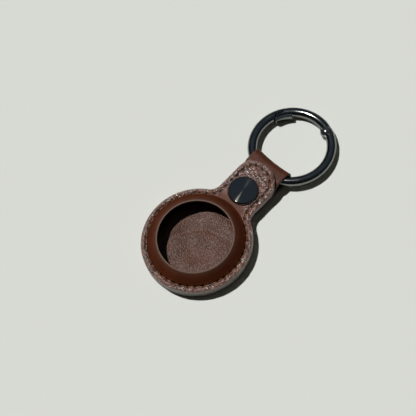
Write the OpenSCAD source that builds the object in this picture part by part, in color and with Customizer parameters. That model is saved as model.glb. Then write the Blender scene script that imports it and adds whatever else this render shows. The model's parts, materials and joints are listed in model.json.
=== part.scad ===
// Leather holder for a coin shaped tracker tag, with a snapped tab and a gated key ring.
// It lies on its back: +Z is up, and +Y runs from the tag pocket to the key ring.
// The origin is the centre of the pocket, on the back face.

/* [Tag pocket] */
// Diameter of the tag that the pocket holds
tag_d = 31.9; // [30:0.1:34]
// Gap between the tag and the pocket wall
tag_gap = 0.25; // [0.1:0.05:0.5]
// Depth of the pocket, from its floor to the underside of its lip
pocket_depth = 5; // [4:0.1:6]
// How far the lip reaches in over the tag
lip_w = 1.45; // [1:0.05:2.2]
// Depth of the shallow dish that tags press into the floor
dish_depth = 0.4; // [0.1:0.05:0.6]
// Distance from the pocket wall to the edge of that dish
dish_margin = 3.7; // [1.6:0.1:6]

/* [Disc] */
// Distance from the pocket wall to the foot of the raised ring
foot_w = 2.5; // [2:0.1:2.8]
// Radius of the rolled edge round the window
window_edge_r = 0.75; // [0.4:0.05:0.9]

/* [Layers] */
// Thickness of the back leather, which also makes the strap
back_t = 1; // [0.8:0.1:1.3]
// Thickness of the padded lining on the back leather
back_lining_t = 1; // [0.7:0.1:1.3]
// Thickness of the welt between the two halves
welt_t = 1.2; // [0.9:0.1:1.6]
// Thickness of the front lining
front_lining_t = 0.7; // [0.5:0.1:0.9]
// Thickness of the front leather
front_t = 1.3; // [1:0.1:1.5]
// Thickness of the front leather where it is stretched over the raised ring
moulded_t = 1; // [0.8:0.05:1.1]
// Thickness of the former's flange under the lip
flange_t = 0.4; // [0.3:0.05:0.6]
// Thickness of the former's wall round the pocket
former_wall = 0.7; // [0.5:0.05:0.9]

/* [Neck and tab] */
// Radius of the hollow corner between neck and disc
neck_fillet_r = 5; // [3.5:0.5:6.5]
// Width of the straight end between the tab's two round corners
tab_end_flat_w = 1.8; // [0.8:0.1:5]
// Gap between the foot of the raised ring and the crease where the tab bends
crease_gap = 1; // [0.6:0.1:1.4]
// Thickness of the lining under the tab
tab_lining_t = 0.5; // [0.4:0.05:0.6]
// Gap between the tab and the strap loop that it rises over
tab_gap = 0.15; // [0.1:0.05:0.4]
// How much longer the tab's rise is than the slope of the strap under it
tab_rise_extra = 0.95; // [0.7:0.05:1.3]
// Length of the flat end of the tab past its rise
tab_flat_l = 1.5; // [0.8:0.1:2.5]

/* [Snap fastener] */
// Diameter of the snap's cap
cap_d = 12; // [10:0.5:12.6]
// Height of the cap above the leather
cap_h = 1.7; // [1.2:0.1:2]
// Distance from the tab's crease to the edge of the cap
cap_margin = 1; // [0.6:0.1:1.6]
// Diameter of the rivet post under the cap and of the post through the strap
snap_post_d = 2.5; // [2:0.1:2.8]
// Diameter of the bead round the top of the stud
stud_bead_d = 4.8; // [4.4:0.1:5]
// How far the bead stands out from the stud's neck
stud_bead_w = 0.4; // [0.3:0.05:0.5]
// How far the flange under the stud stands out from its neck
stud_flange_w = 1.6; // [1.2:0.1:2]
// Gap between the bead and the socket round it
socket_bead_gap = 0.45; // [0.4:0.05:0.6]
// Wall of the socket
socket_wall = 1.75; // [1.4:0.05:2]
// Diameter of the wire of the socket's spring
spring_wire_d = 0.36; // [0.3:0.02:0.4]
// Diameter of the post's flange on the back
back_flange_d = 8; // [7:0.2:9]

/* [Strap loop] */
// How much narrower the strap is than the tab, on each side
strap_inset = 0.7; // [0.4:0.1:1.5]
// Gap between the ring and the strap round it
tunnel_gap = 0.2; // [0.1:0.05:0.3]
// Distance from the start of the tab's rise to where the two layers of the loop part
pinch_gap = 1.1; // [0.8:0.1:1.6]
// Length of the slope from there to the ring's wire
pinch_l = 5.05; // [4.6:0.05:5.8]
// Gap between the disc's linings and the end of the strap
strap_end_gap = 0.9; // [0.4:0.1:1.5]

/* [Key ring] */
// Radius of the ring, to the middle of its wire
ring_r = 15.8; // [15:0.1:17]
// Diameter of the ring's wire
wire_d = 3.9; // [3.7:0.1:4]

/* [Gate] */
// Place of the gate's pin round the ring, counted from +X towards +Y
gate_a = 67; // [60:1:75]
// How far the gate's pin lies inside the middle of the wire
gate_pin_inset = 0.8; // [0.6:0.05:1]
// Diameter of the gate's pin
gate_pin_d = 1.2; // [1:0.05:1.4]
// Running gap round the pin
pin_gap = 0.05; // [0.02:0.01:0.1]
// Thickness of each cheek of the gate's fork
cheek_t = 1.05; // [0.9:0.05:1.2]
// Side gap between each cheek and the ring's tongue
cheek_gap = 0.1; // [0.06:0.02:0.14]
// How much smaller the round of the tongue is than the round of the fork
tongue_inset = 0.45; // [0.4:0.05:0.6]
// Gap between the round end of the fork and the hollow in the ring behind it
fork_gap = 0.15; // [0.1:0.05:0.3]
// Diameter of the pin's riveted heads
rivet_d = 2.2; // [1.8:0.1:2.4]
// Depth of the flat seat under each head
rivet_seat_depth = 0.3; // [0.2:0.05:0.4]
// Angle from the pin to the outer edge of the lap joint
lap_out_a = 74; // [66:1:84]
// Angle that each slanted end of the lap spans
lap_slope_a = 6; // [5:0.5:8]
// Angle that the lap's long face spans
lap_face_a = 9; // [7:0.5:12]
// How far the lap's long face lies inside the middle of the wire
lap_inset = 0.45; // [0.2:0.05:0.6]
// Gap along the lap joint
lap_gap = 0.12; // [0.08:0.02:0.16]
// How far the thickened nose stands in from the wire
nose_drop = 0.9; // [0.6:0.05:1.2]
// Width of the thickened nose
nose_w = 2.4; // [2:0.1:2.8]
// Angle that the thickened nose starts before the lap joint
nose_lead_a = 9; // [6:0.5:14]
// Mean wall of the wire round the bore for the gate's spring and plunger
bore_wall = 1.05; // [1:0.05:1.2]
// Gap between the plunger and its bore
plunger_gap = 0.09; // [0.05:0.01:0.14]
// Depth of the flat on the tongue that the plunger presses
flat_depth = 0.6; // [0.5:0.05:0.7]
// Length of the plunger
plunger_l = 2.5; // [2.2:0.1:2.8]
// Depth of the bore, from the pin
bore_depth = 8; // [7.4:0.1:8.6]
// How far outside the middle of the wire the bore ends
bore_end_offset = 0.57; // [0.4:0.01:0.7]
// Diameter of the wire of the gate's spring
gate_spring_wire_d = 0.3; // [0.25:0.05:0.35]

/* [Stitches] */
// Distance from the edge of the leather to the seam
seam_inset = 2.3; // [1.8:0.05:3]
// Distance from the seam to the foot of the raised ring, and to the snap's cap
seam_clear = 1; // [0.8:0.05:1.6]
// Distance from one stitch to the next
stitch_pitch = 3; // [2.6:0.1:3.6]
// Gap between neighbouring stitches
stitch_gap = 0.8; // [0.6:0.1:1]
// Thickness of the thread
thread_d = 0.7; // [0.5:0.05:0.8]
// Side gap between the thread and the groove that it lies in
groove_gap = 0.1; // [0.05:0.05:0.2]
// Depth of that groove
groove_d = 0.3; // [0.2:0.05:0.35]
// How far the stitches stand above the leather in front
stitch_proud = 0.15; // [0.1:0.05:0.25]
// How far the stitches lie below the surface at the back
stitch_sunk = 0.05; // [0.02:0.01:0.1]

/* [Hidden] */

$fn = 96;
// Overrun of every cut past the face that it opens
cut = 0.5;
// Steps in each drawn curve of a side view
curve_steps = 8;

// Heights of the layers over the back face
floor_z = back_t + back_lining_t;
welt_top_z = floor_z + welt_t;
lining_top_z = welt_top_z + front_lining_t;
front_z = lining_top_z + front_t;

// Disc, pocket and raised ring
pocket_r = tag_d / 2 + tag_gap;
window_r = pocket_r - lip_w;
foot_r = pocket_r + foot_w;
border_w = seam_inset + seam_clear;
disc_r = foot_r + border_w;
disc_d = 2 * disc_r;
crest_r = window_r + window_edge_r;
lip_z = floor_z + pocket_depth;
crest_z = lip_z + flange_t + moulded_t;
ring_run = foot_r - crest_r;
ring_rise = crest_z - front_z;
former_r = pocket_r + former_wall;
flange_edge_gap = 0.35;
dish_r = pocket_r - dish_margin;

// Crease that the tab bends at, and the tab's layers
crease_y = foot_r + crease_gap;
crease_thread_gap = 0.25;
tab_t = tab_lining_t + front_t;
tab_under_z = front_z - tab_t;

// Snap fastener, with its stack of parts counted down from the socket's ceiling
cap_r = cap_d / 2;
cap_edge = 0.3;
cap_foot = 0.15;
snap_y = crease_y + cap_margin + cap_r;
snap_post_r = snap_post_d / 2;
stud_bead_r = stud_bead_d / 2;
stud_neck_r = stud_bead_r - stud_bead_w;
stud_flange_r = stud_neck_r + stud_flange_w;
stud_flange_t = 0.4;
stud_bead_h = 0.4;
stud_cup_w = 0.55;
stud_cup_d = 0.3;
stud_top_gap = 0.15;
socket_bore_r = stud_bead_r + socket_bead_gap;
socket_r = socket_bore_r + socket_wall;
socket_web_t = 0.4;
socket_lip_t = 0.2;
socket_seat_gap = 0.1;
socket_ceiling_z = lining_top_z - socket_web_t;
stud_top_z = socket_ceiling_z - stud_top_gap;
stud_bead_z = stud_top_z - stud_bead_h;
spring_bite = 0.08;
spring_bead_gap = 0.07;
spring_side_gap = 0.02;
spring_z = stud_bead_z - spring_bead_gap - spring_wire_d / 2;
spring_x = stud_bead_r - spring_bite + spring_wire_d / 2;
spring_groove_h = spring_wire_d + 2 * spring_side_gap;
spring_groove_w = 0.4;
socket_z = spring_z - spring_groove_h / 2 - socket_lip_t;
back_flange_t = 0.35;
post_flare = 0.4;
post_flare_t = 0.2;
post_wall = 0.45;
post_bore_r = snap_post_r - post_wall;
post_end_t = 0.6;

// Neck
neck_half = cap_r + border_w;

// Strap loop and the ring's wire in it
wire_r = wire_d / 2;
strap_half = neck_half - strap_inset;
strap_w = 2 * strap_half;
rise_y0 = snap_y + cap_r;
pinch_y = rise_y0 + pinch_gap;
bar_y = pinch_y + pinch_l;
tunnel_r = wire_r + tunnel_gap;
bar_z = back_t + tunnel_r;
loop_r = tunnel_r + back_t;
loop_top_z = bar_z + loop_r;
strap_rise_a = 2 * atan(tunnel_r / pinch_l);
strap_edge_reach = ring_r - sqrt(pow(ring_r - wire_r, 2) - pow(strap_half, 2));
fold_y = bar_y + strap_edge_reach + tunnel_gap - tunnel_r;
strap_split_y = pinch_y - back_t;
strap_end_y = crease_y + strap_end_gap;

// Rise of the tab over the loop, as two equal arcs
tab_high_z = loop_top_z + tab_gap;
tab_rise_l = pinch_l + tab_rise_extra;
rise_y1 = rise_y0 + tab_rise_l;
rise_h = tab_high_z - tab_under_z;
rise_a = 2 * atan(rise_h / tab_rise_l);
rise_r = tab_rise_l / (2 * sin(rise_a));
tab_end_y = rise_y1 + tab_flat_l;
corner_x = tab_end_flat_w / 2;
tab_corner_r = neck_half - corner_x;
corner_y = tab_end_y - tab_corner_r;

// Key ring, tilted so that its far side rests on the table
ring_tilt = asin((bar_z - wire_r) / (2 * ring_r));
ring_y = bar_y + ring_r * cos(ring_tilt);
ring_z = (bar_z + wire_r) / 2;

// Gate
gate_pin_r = ring_r - gate_pin_inset;
gate_pin_hole_r = gate_pin_d / 2;
fork_r = wire_r + gate_pin_inset;
fork_a = 20;
slot_half = wire_r - cheek_t;
tongue_half = slot_half - cheek_gap;
tongue_r = fork_r - tongue_inset;
slot_end = tongue_r + 2 * cheek_gap;
flat_r = tongue_r - flat_depth;
rivet_r = rivet_d / 2;
rivet_seat_r = rivet_r + fork_gap;
rivet_seat_z = sqrt(pow(wire_r, 2) - pow(gate_pin_inset, 2)) - rivet_seat_depth;
rivet_h = 0.35;
rivet_edge = 0.15;
bore_r = wire_r - bore_wall;
bore_end_r = ring_r + bore_end_offset;
bore_turn_a = asin(
    (pow(gate_pin_r, 2) + pow(bore_depth, 2) - pow(bore_end_r, 2)) / (2 * gate_pin_r * bore_depth)
);
plunger_r = bore_r - plunger_gap;
plunger_tip_gap = 0.02;
plunger_end = flat_r + plunger_tip_gap + plunger_l;
lap_r = ring_r - lap_inset;
lap_start_a = lap_out_a + lap_slope_a;
lap_end_a = lap_start_a + lap_face_a;
lap_tip_a = lap_end_a + lap_slope_a;
lap_out_r = ring_r + wire_r / 2;
lap_in_r = ring_r - wire_r;
lap_extend_share = 2.2;
lap_tip_overrun_a = 1.2;
nose_r = lap_in_r - nose_drop;
nose_a = lap_out_a - nose_lead_a;
gate_far_r = 2 * ring_r;

// Seam
groove_w = thread_d + 2 * groove_gap;
seam_disc_r = disc_r - seam_inset;
seam_fillet_r = neck_fillet_r + seam_inset;
seam_corner_r = tab_corner_r - seam_inset;
fillet_x = neck_half + neck_fillet_r;
fillet_y = sqrt(pow(disc_r + neck_fillet_r, 2) - pow(fillet_x, 2));
fillet_a = atan2(fillet_y, fillet_x);
seam_end_1 = seam_disc_r * (fillet_a + 90) * PI / 180;
seam_end_2 = seam_end_1 + seam_fillet_r * fillet_a * PI / 180;
seam_end_3 = seam_end_2 + corner_y - fillet_y;
seam_end_4 = seam_end_3 + seam_corner_r * 90 * PI / 180;
seam_end_5 = seam_end_4 + corner_x;
stitch_count = round(seam_end_5 / stitch_pitch);
stitch_step = seam_end_5 / stitch_count;
stitch_l = stitch_step - stitch_gap;

function polar(r, a) = [r * cos(a), r * sin(a)];

function arc(centre, r, a0, a1) =
    [for (i = [0 : curve_steps]) centre + polar(r, a0 + (a1 - a0) * i / curve_steps)];

// Quarter of an ellipse from its side to its top
function quarter(centre, run, rise) =
    [for (i = [0 : curve_steps])
        let (a = 90 * i / curve_steps)
        centre + [run * cos(a), rise * sin(a)]];

function reversed(points) = [for (i = [len(points) - 1 : -1 : 0]) points[i]];

// Line along the tab in side view, at a height over its underside
function tab_line(height) = concat(
    [[crease_y - cut, tab_under_z + height]],
    arc([rise_y0, tab_under_z + rise_r], rise_r - height, -90, rise_a - 90),
    arc([rise_y1, tab_high_z - rise_r], rise_r + height, 90 + rise_a, 90),
    [[tab_end_y + cut, tab_high_z + height]]
);

// Place and heading of a point on the right half of the seam, by its distance from the bottom
function seam_at(s) =
    s < seam_end_1 ? let (a = s / seam_disc_r * 180 / PI - 90)
        [polar(seam_disc_r, a), a + 90] :
    s < seam_end_2 ? let (a = 180 + fillet_a - (s - seam_end_1) / seam_fillet_r * 180 / PI)
        [[fillet_x, fillet_y] + polar(seam_fillet_r, a), a - 90] :
    s < seam_end_3 ? [[neck_half - seam_inset, fillet_y + s - seam_end_2], 90] :
    s < seam_end_4 ? let (a = (s - seam_end_3) / seam_corner_r * 180 / PI)
        [[corner_x, corner_y] + polar(seam_corner_r, a), a + 90] :
    [[seam_end_5 - s, tab_end_y - seam_inset], 180];

// Degrees of arc that a length spans on the ring
function ring_degrees(l) = l / ring_r * 180 / PI;

// Edge of the gate at the lap joint, moved out by a gap
function lap_edge(gap) = let (
    turn = ring_degrees(gap),
    outside = polar(lap_out_r, gate_a + lap_out_a + 2 * turn),
    face_start = polar(lap_r + gap, gate_a + lap_start_a + turn),
    face_end = polar(lap_r + gap, gate_a + lap_end_a + turn),
    tip = polar(lap_in_r, gate_a + lap_tip_a + 2 * turn)
) [
    face_start + lap_extend_share * (outside - face_start),
    face_start,
    face_end,
    face_end + lap_extend_share * (tip - face_end)
];

// Extrudes a side view, drawn in Y and Z, to both sides of the middle
module along_x(width) {
    translate([-width / 2, 0, 0])
        rotate([90, 0, 90])
            linear_extrude(width) children();
}

// Disc with a neck and hollow corners between them
module disc_and_neck(inset, half, length) {
    corner = [half + neck_fillet_r, sqrt(pow(disc_r + neck_fillet_r, 2) - pow(half + neck_fillet_r, 2))];
    circle(disc_r - inset);
    translate([inset - half, 0]) square([2 * (half - inset), length]);
    for (side = [0, 1]) mirror([side, 0]) difference() {
        polygon([[0, 0], corner, [0, corner[1]]]);
        translate(corner) circle(neck_fillet_r + inset);
    }
}

// Outline of the front leather, with the tab's rounded end
module front_outline(inset = 0) {
    disc_and_neck(inset, neck_half, corner_y);
    for (side = [-1, 1])
        translate([side * corner_x, corner_y]) circle(tab_corner_r - inset);
    translate([-corner_x, 0]) square([2 * corner_x, tab_end_y - inset]);
}

// Keeps what lies on the disc's side of the tab's crease, up to a gap before it
module disc_side(gap = 0) {
    intersection() {
        children();
        translate([-disc_d, -disc_d]) square([2 * disc_d, disc_d + crease_y - gap]);
    }
}

// Keeps what lies on the tab's side of the crease
module tab_side() {
    intersection() {
        children();
        translate([-disc_d, crease_y]) square([2 * disc_d, tab_end_y]);
    }
}

module seam_groove() {
    difference() {
        front_outline(seam_inset - groove_w / 2);
        front_outline(seam_inset + groove_w / 2);
    }
}

module stitch() {
    square([stitch_l - thread_d, thread_d], center = true);
    for (end = [-1, 1])
        translate([end * (stitch_l - thread_d) / 2, 0]) circle(thread_d / 2, $fn = 24);
}

// All stitches of the seam, in plan
module stitches() {
    for (side = [0, 1], i = [0 : stitch_count - 1]) {
        place = seam_at((i + 0.5) * stitch_step);
        mirror([side, 0]) translate(place[0]) rotate(place[1]) stitch();
    }
}

// Slice of the tab between two heights over its underside
module tab_slice(low, high) {
    along_x(2 * fillet_x)
        polygon(concat(tab_line(low), reversed(tab_line(high))));
}

// Raises a tab plan to the tab's full height
module tab_column() {
    translate([0, 0, tab_under_z - cut])
        linear_extrude(tab_high_z + tab_t - tab_under_z + 2 * cut) tab_side() children();
}

module at_snap() {
    translate([0, snap_y, 0]) children();
}

// Upright cylinder from one height to another
module drum(r, z0, z1) {
    translate([0, 0, z0]) cylinder(r = r, h = z1 - z0);
}

module back_panel() {
    color("#4a2a20") difference() {
        linear_extrude(back_t) intersection() {
            disc_and_neck(0, strap_half, strap_split_y);
            translate([-disc_d, -disc_d]) square([2 * disc_d, disc_d + strap_split_y]);
        }
        translate([0, 0, -cut]) linear_extrude(groove_d + cut) disc_side() seam_groove();
        at_snap() drum(snap_post_r, -cut, back_t + cut);
        at_snap() drum(back_flange_d / 2, -cut, back_flange_t);
    }
}

module back_lining() {
    color("#5b3a33") difference() {
        translate([0, 0, back_t]) linear_extrude(back_lining_t)
            disc_side() disc_and_neck(0, strap_half, crease_y + cut);
        rotate_extrude() polygon(concat(
            [[0, floor_z + cut]],
            [for (i = [0 : curve_steps])
                let (share = i / curve_steps)
                [dish_r * share, floor_z - dish_depth * (1 - share * share)]],
            [[dish_r, floor_z + cut]]
        ));
    }
}

module welt() {
    color("#3a231c") translate([0, 0, floor_z]) linear_extrude(welt_t) difference() {
        disc_side() front_outline();
        circle(former_r);
    }
}

module front_lining() {
    color("#6a4a40") translate([0, 0, welt_top_z]) linear_extrude(front_lining_t) difference() {
        disc_side() front_outline();
        circle(former_r);
    }
}

// Stiff ring that keeps the pocket's shape under the moulded leather
module rim_former() {
    color("#241814") rotate_extrude() polygon(concat(
        [
            [pocket_r, floor_z],
            [former_r, floor_z],
            [former_r, lining_top_z],
            [foot_r - moulded_t, lining_top_z]
        ],
        quarter([crest_r, front_z], ring_run - moulded_t, ring_rise - moulded_t),
        [
            [window_r + flange_edge_gap, lip_z + flange_t],
            [window_r + flange_edge_gap, lip_z],
            [pocket_r, lip_z]
        ]
    ));
}

// Front leather of the disc, moulded up into the raised ring
module front_panel() {
    edge_z = crest_z - window_edge_r;
    color("#6b3220") difference() {
        union() {
            translate([0, 0, lining_top_z]) linear_extrude(front_t) disc_side() front_outline();
            rotate_extrude() polygon(concat(
                [[0, lining_top_z], [foot_r, lining_top_z]],
                quarter([crest_r, front_z], ring_run, ring_rise),
                arc([crest_r, edge_z], window_edge_r, 90, 180),
                [[window_r, lip_z], [0, lip_z]]
            ));
        }
        rotate_extrude() polygon(concat(
            [[0, lining_top_z - cut], [foot_r - moulded_t, lining_top_z - cut]],
            quarter([crest_r, front_z], ring_run - moulded_t, ring_rise - moulded_t),
            [[0, lip_z + flange_t]]
        ));
        drum(window_r, 0, crest_z + cut);
        translate([0, 0, front_z - groove_d]) linear_extrude(groove_d + cut) seam_groove();
    }
}

module front_seam_thread() {
    color("#8a4a2c") translate([0, 0, front_z - groove_d])
        linear_extrude(groove_d + stitch_proud) disc_side(crease_thread_gap) stitches();
}

module back_seam_thread() {
    color("#8a4a2c") translate([0, 0, stitch_sunk])
        linear_extrude(groove_d - stitch_sunk) disc_side() stitches();
}

// Strap that leaves the back leather, goes round the ring and comes back under the tab
module ring_strap() {
    strap_end_round_y = strap_end_y + strap_half;
    outer = concat(
        [[strap_split_y, 0]],
        arc([fold_y, bar_z], loop_r, -90, 90),
        arc([bar_y, bar_z], loop_r, 90, 90 + strap_rise_a),
        [
            [pinch_y - back_t * tan(strap_rise_a / 2), 2 * back_t],
            [strap_end_y, 2 * back_t],
            [strap_end_y, back_t],
            [strap_split_y, back_t]
        ]
    );
    inner = concat(
        [[pinch_y, back_t]],
        arc([fold_y, bar_z], tunnel_r, -90, 90),
        arc([bar_y, bar_z], tunnel_r, 90, 90 + strap_rise_a)
    );
    color("#6b3220") difference() {
        intersection() {
            along_x(strap_w) difference() {
                polygon(outer);
                polygon(inner);
            }
            translate([0, 0, -cut]) linear_extrude(loop_top_z + 2 * cut) {
                translate([0, strap_end_round_y]) circle(strap_half);
                translate([-strap_half, strap_end_round_y])
                    square([strap_w, fold_y + loop_r + cut - strap_end_round_y]);
            }
        }
        at_snap() drum(snap_post_r, back_t - cut, 2 * back_t + cut);
        at_snap() drum(stud_flange_r, 2 * back_t - stud_flange_t, 2 * back_t + cut);
    }
}

// Hollow rivet that clamps the stud through the strap, with its flange sunk in the back
module snap_post() {
    flare_z = stud_top_z - stud_cup_d;
    color("#15161a") at_snap() rotate_extrude() polygon([
        [post_bore_r, 0],
        [back_flange_d / 2, 0],
        [back_flange_d / 2, back_flange_t],
        [snap_post_r, back_flange_t],
        [snap_post_r, flare_z],
        [snap_post_r + post_flare, flare_z],
        [snap_post_r + post_flare, flare_z + post_flare_t],
        [0, flare_z + post_flare_t],
        [0, flare_z + post_flare_t - post_end_t],
        [post_bore_r, flare_z + post_flare_t - post_end_t]
    ]);
}

module snap_stud() {
    flange_z = 2 * back_t - stud_flange_t;
    cup_r = snap_post_r + stud_cup_w;
    color("#15161a") at_snap() rotate_extrude() polygon([
        [snap_post_r, flange_z],
        [stud_flange_r, flange_z],
        [stud_flange_r, 2 * back_t],
        [stud_neck_r, 2 * back_t],
        [stud_neck_r, stud_bead_z],
        [stud_bead_r, stud_bead_z],
        [stud_bead_r, stud_bead_z + stud_bead_h / 2],
        [cup_r + stud_bead_h / 2, stud_top_z],
        [cup_r, stud_top_z],
        [cup_r, stud_top_z - stud_cup_d],
        [snap_post_r, stud_top_z - stud_cup_d]
    ]);
}

module front_tab() {
    color("#6b3220") difference() {
        intersection() {
            tab_slice(tab_lining_t, tab_t);
            tab_column() front_outline();
        }
        intersection() {
            tab_slice(tab_t - groove_d, tab_t + cut);
            tab_column() seam_groove();
        }
        at_snap() drum(snap_post_r, tab_under_z - cut, front_z + cut);
    }
}

module tab_lining() {
    color("#6a4a40") difference() {
        intersection() {
            tab_slice(0, tab_lining_t);
            tab_column() front_outline();
        }
        at_snap() drum(socket_r + socket_seat_gap, tab_under_z - cut, front_z);
    }
}

module tab_thread() {
    color("#8a4a2c") intersection() {
        tab_slice(tab_t - groove_d, tab_t + stitch_proud);
        tab_column() stitches();
    }
}

module snap_cap() {
    color("#101318") at_snap() rotate_extrude() polygon([
        [0, socket_ceiling_z],
        [snap_post_r, socket_ceiling_z],
        [snap_post_r, front_z],
        [cap_r - cap_foot, front_z],
        [cap_r, front_z + cap_foot],
        [cap_r, front_z + cap_h - cap_edge],
        [cap_r - cap_edge, front_z + cap_h],
        [0, front_z + cap_h]
    ]);
}

module snap_socket() {
    groove_z0 = spring_z - spring_groove_h / 2;
    groove_z1 = spring_z + spring_groove_h / 2;
    color("#15161a") at_snap() rotate_extrude() polygon([
        [socket_bore_r, socket_z],
        [socket_r - cap_edge, socket_z],
        [socket_r, socket_z + cap_edge],
        [socket_r, lining_top_z],
        [snap_post_r, lining_top_z],
        [snap_post_r, socket_ceiling_z],
        [socket_bore_r, socket_ceiling_z],
        [socket_bore_r, groove_z1],
        [socket_bore_r + spring_groove_w, groove_z1],
        [socket_bore_r + spring_groove_w, groove_z0],
        [socket_bore_r, groove_z0]
    ]);
}

// Two straight wires in the socket's groove, which grip the stud under its bead
module snap_spring() {
    reach = socket_bore_r + spring_groove_w;
    half = sqrt(pow(reach, 2) - pow(spring_x + spring_wire_d / 2, 2)) - socket_seat_gap;
    color("#b9bcc2") at_snap() for (side = [-1, 1])
        translate([side * spring_x, -half, spring_z])
            rotate([-90, 0, 0]) cylinder(r = spring_wire_d / 2, h = 2 * half, $fn = 24);
}

// Puts what is drawn round the ring's centre, in the ring's own plane, in its place
module in_ring() {
    translate([0, ring_y, ring_z]) rotate([-ring_tilt, 0, 0]) children();
}

module at_gate_pin() {
    translate(polar(gate_pin_r, gate_a)) children();
}

// Round wire from one angle of the ring to another
module wire(a0, a1) {
    rotate([0, 0, a0]) rotate_extrude(angle = a1 - a0) translate([ring_r, 0]) circle(wire_r);
}

// Side of the lap joint that belongs to the gate, from an angle past its pin
module gate_side(gap, start_a) {
    linear_extrude(wire_d + 2 * cut, center = true) polygon(concat(
        lap_edge(gap),
        [
            [0, 0],
            polar(gate_far_r, gate_a + start_a),
            polar(gate_far_r, gate_a + (start_a + lap_out_a) / 2)
        ]
    ));
}

// Stretch of wire behind the pin that the fork leaves free, except for its round end
module behind_fork() {
    linear_extrude(wire_d + 2 * cut, center = true) difference() {
        polygon([[0, 0], polar(gate_far_r, gate_a - 2 * fork_a), polar(gate_far_r, gate_a)]);
        at_gate_pin() circle(fork_r);
    }
}

// Turns what is drawn along +X into the axis of the plunger's bore
module along_bore() {
    at_gate_pin() rotate([0, 0, gate_a + 90 + bore_turn_a]) children();
}

module ring_body() {
    color("#0c0e13") in_ring() difference() {
        union() {
            difference() {
                wire(gate_a + nose_a, 360 + gate_a);
                gate_side(lap_gap, nose_a / 2);
                at_gate_pin() for (side = [0, 1]) mirror([0, 0, side])
                    translate([0, 0, tongue_half]) cylinder(r = fork_r + fork_gap, h = wire_d);
            }
            at_gate_pin() cylinder(r = tongue_r, h = 2 * tongue_half, center = true);
        }
        at_gate_pin() cylinder(r = gate_pin_hole_r + pin_gap, h = wire_d, center = true);
        along_bore() translate([flat_r, -wire_d, -wire_d]) cube([wire_d, 2 * wire_d, 2 * wire_d]);
    }
}

module ring_gate() {
    color("#0c0e13") in_ring() difference() {
        intersection() {
            union() {
                wire(gate_a - fork_a, gate_a + lap_tip_a + lap_tip_overrun_a);
                rotate([0, 0, gate_a + nose_a])
                    rotate_extrude(angle = lap_tip_a - nose_a)
                        translate([nose_r, -nose_w / 2]) square([lap_r - nose_r, nose_w]);
            }
            gate_side(0, -2 * fork_a);
        }
        behind_fork();
        at_gate_pin() rotate([0, 0, gate_a]) translate([-wire_d, -wire_d, -slot_half])
            cube([2 * wire_d, wire_d + slot_end, 2 * slot_half]);
        at_gate_pin() cylinder(r = gate_pin_hole_r, h = wire_d + cut, center = true);
        at_gate_pin() for (side = [0, 1]) mirror([0, 0, side])
            translate([0, 0, rivet_seat_z]) cylinder(r = rivet_seat_r, h = wire_d);
        along_bore() rotate([0, 90, 0]) cylinder(r = bore_r, h = bore_depth);
    }
}

// Rivet through the fork's cheeks and the ring's tongue, with a low head on each side
module gate_pin() {
    head_z = rivet_seat_z + rivet_h;
    color("#2a2d33") in_ring() at_gate_pin() rotate_extrude() polygon([
        [0, -head_z],
        [rivet_r - rivet_edge, -head_z],
        [rivet_r, rivet_edge - head_z],
        [rivet_r, -rivet_seat_z],
        [gate_pin_hole_r, -rivet_seat_z],
        [gate_pin_hole_r, rivet_seat_z],
        [rivet_r, rivet_seat_z],
        [rivet_r, head_z - rivet_edge],
        [rivet_r - rivet_edge, head_z],
        [0, head_z]
    ]);
}

// Round nosed plunger in the gate, which presses on the flat of the tongue
module gate_plunger() {
    tip = flat_r + plunger_tip_gap;
    color("#b9bcc2") in_ring() along_bore() rotate([0, 90, 0]) rotate_extrude() polygon(concat(
        [[0, tip + plunger_l], [0, tip]],
        [for (i = [1 : curve_steps])
            let (a = 90 * i / curve_steps)
            [plunger_r * sin(a), tip + plunger_r * (1 - cos(a))]],
        [[plunger_r, tip + plunger_l]]
    ));
}

// Space that the gate's closing spring fills between the plunger and the end of the bore
module gate_spring() {
    color("#b9bcc2") in_ring() along_bore() rotate([0, 90, 0])
        translate([0, 0, plunger_end]) difference() {
            length = bore_depth - plunger_end - plunger_tip_gap;
            cylinder(r = plunger_r, h = length);
            translate([0, 0, -cut])
                cylinder(r = plunger_r - gate_spring_wire_d, h = length + 2 * cut);
        }
}

back_panel();
back_lining();
welt();
front_lining();
rim_former();
front_panel();
front_seam_thread();
back_seam_thread();
ring_strap();
snap_post();
snap_stud();
front_tab();
tab_lining();
tab_thread();
snap_cap();
snap_socket();
snap_spring();
ring_body();
ring_gate();
gate_pin();
gate_plunger();
gate_spring();
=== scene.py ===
"""Leather tag holder with a snapped tab and a gated key ring, dressed for rendering.

Shapes are worked out in millimetres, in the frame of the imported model, and become metres
when a mesh is made. +Y runs from the tag pocket to the key ring, and +Z is up.
"""

from __future__ import annotations

import json
import logging
import math
from collections.abc import Callable, Sequence
from dataclasses import dataclass, field
from enum import Enum

import bmesh
import bpy
import numpy as np
from mathutils import Matrix, Vector
from mathutils.geometry import delaunay_2d_cdt
from mathutils.kdtree import KDTree

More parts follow.
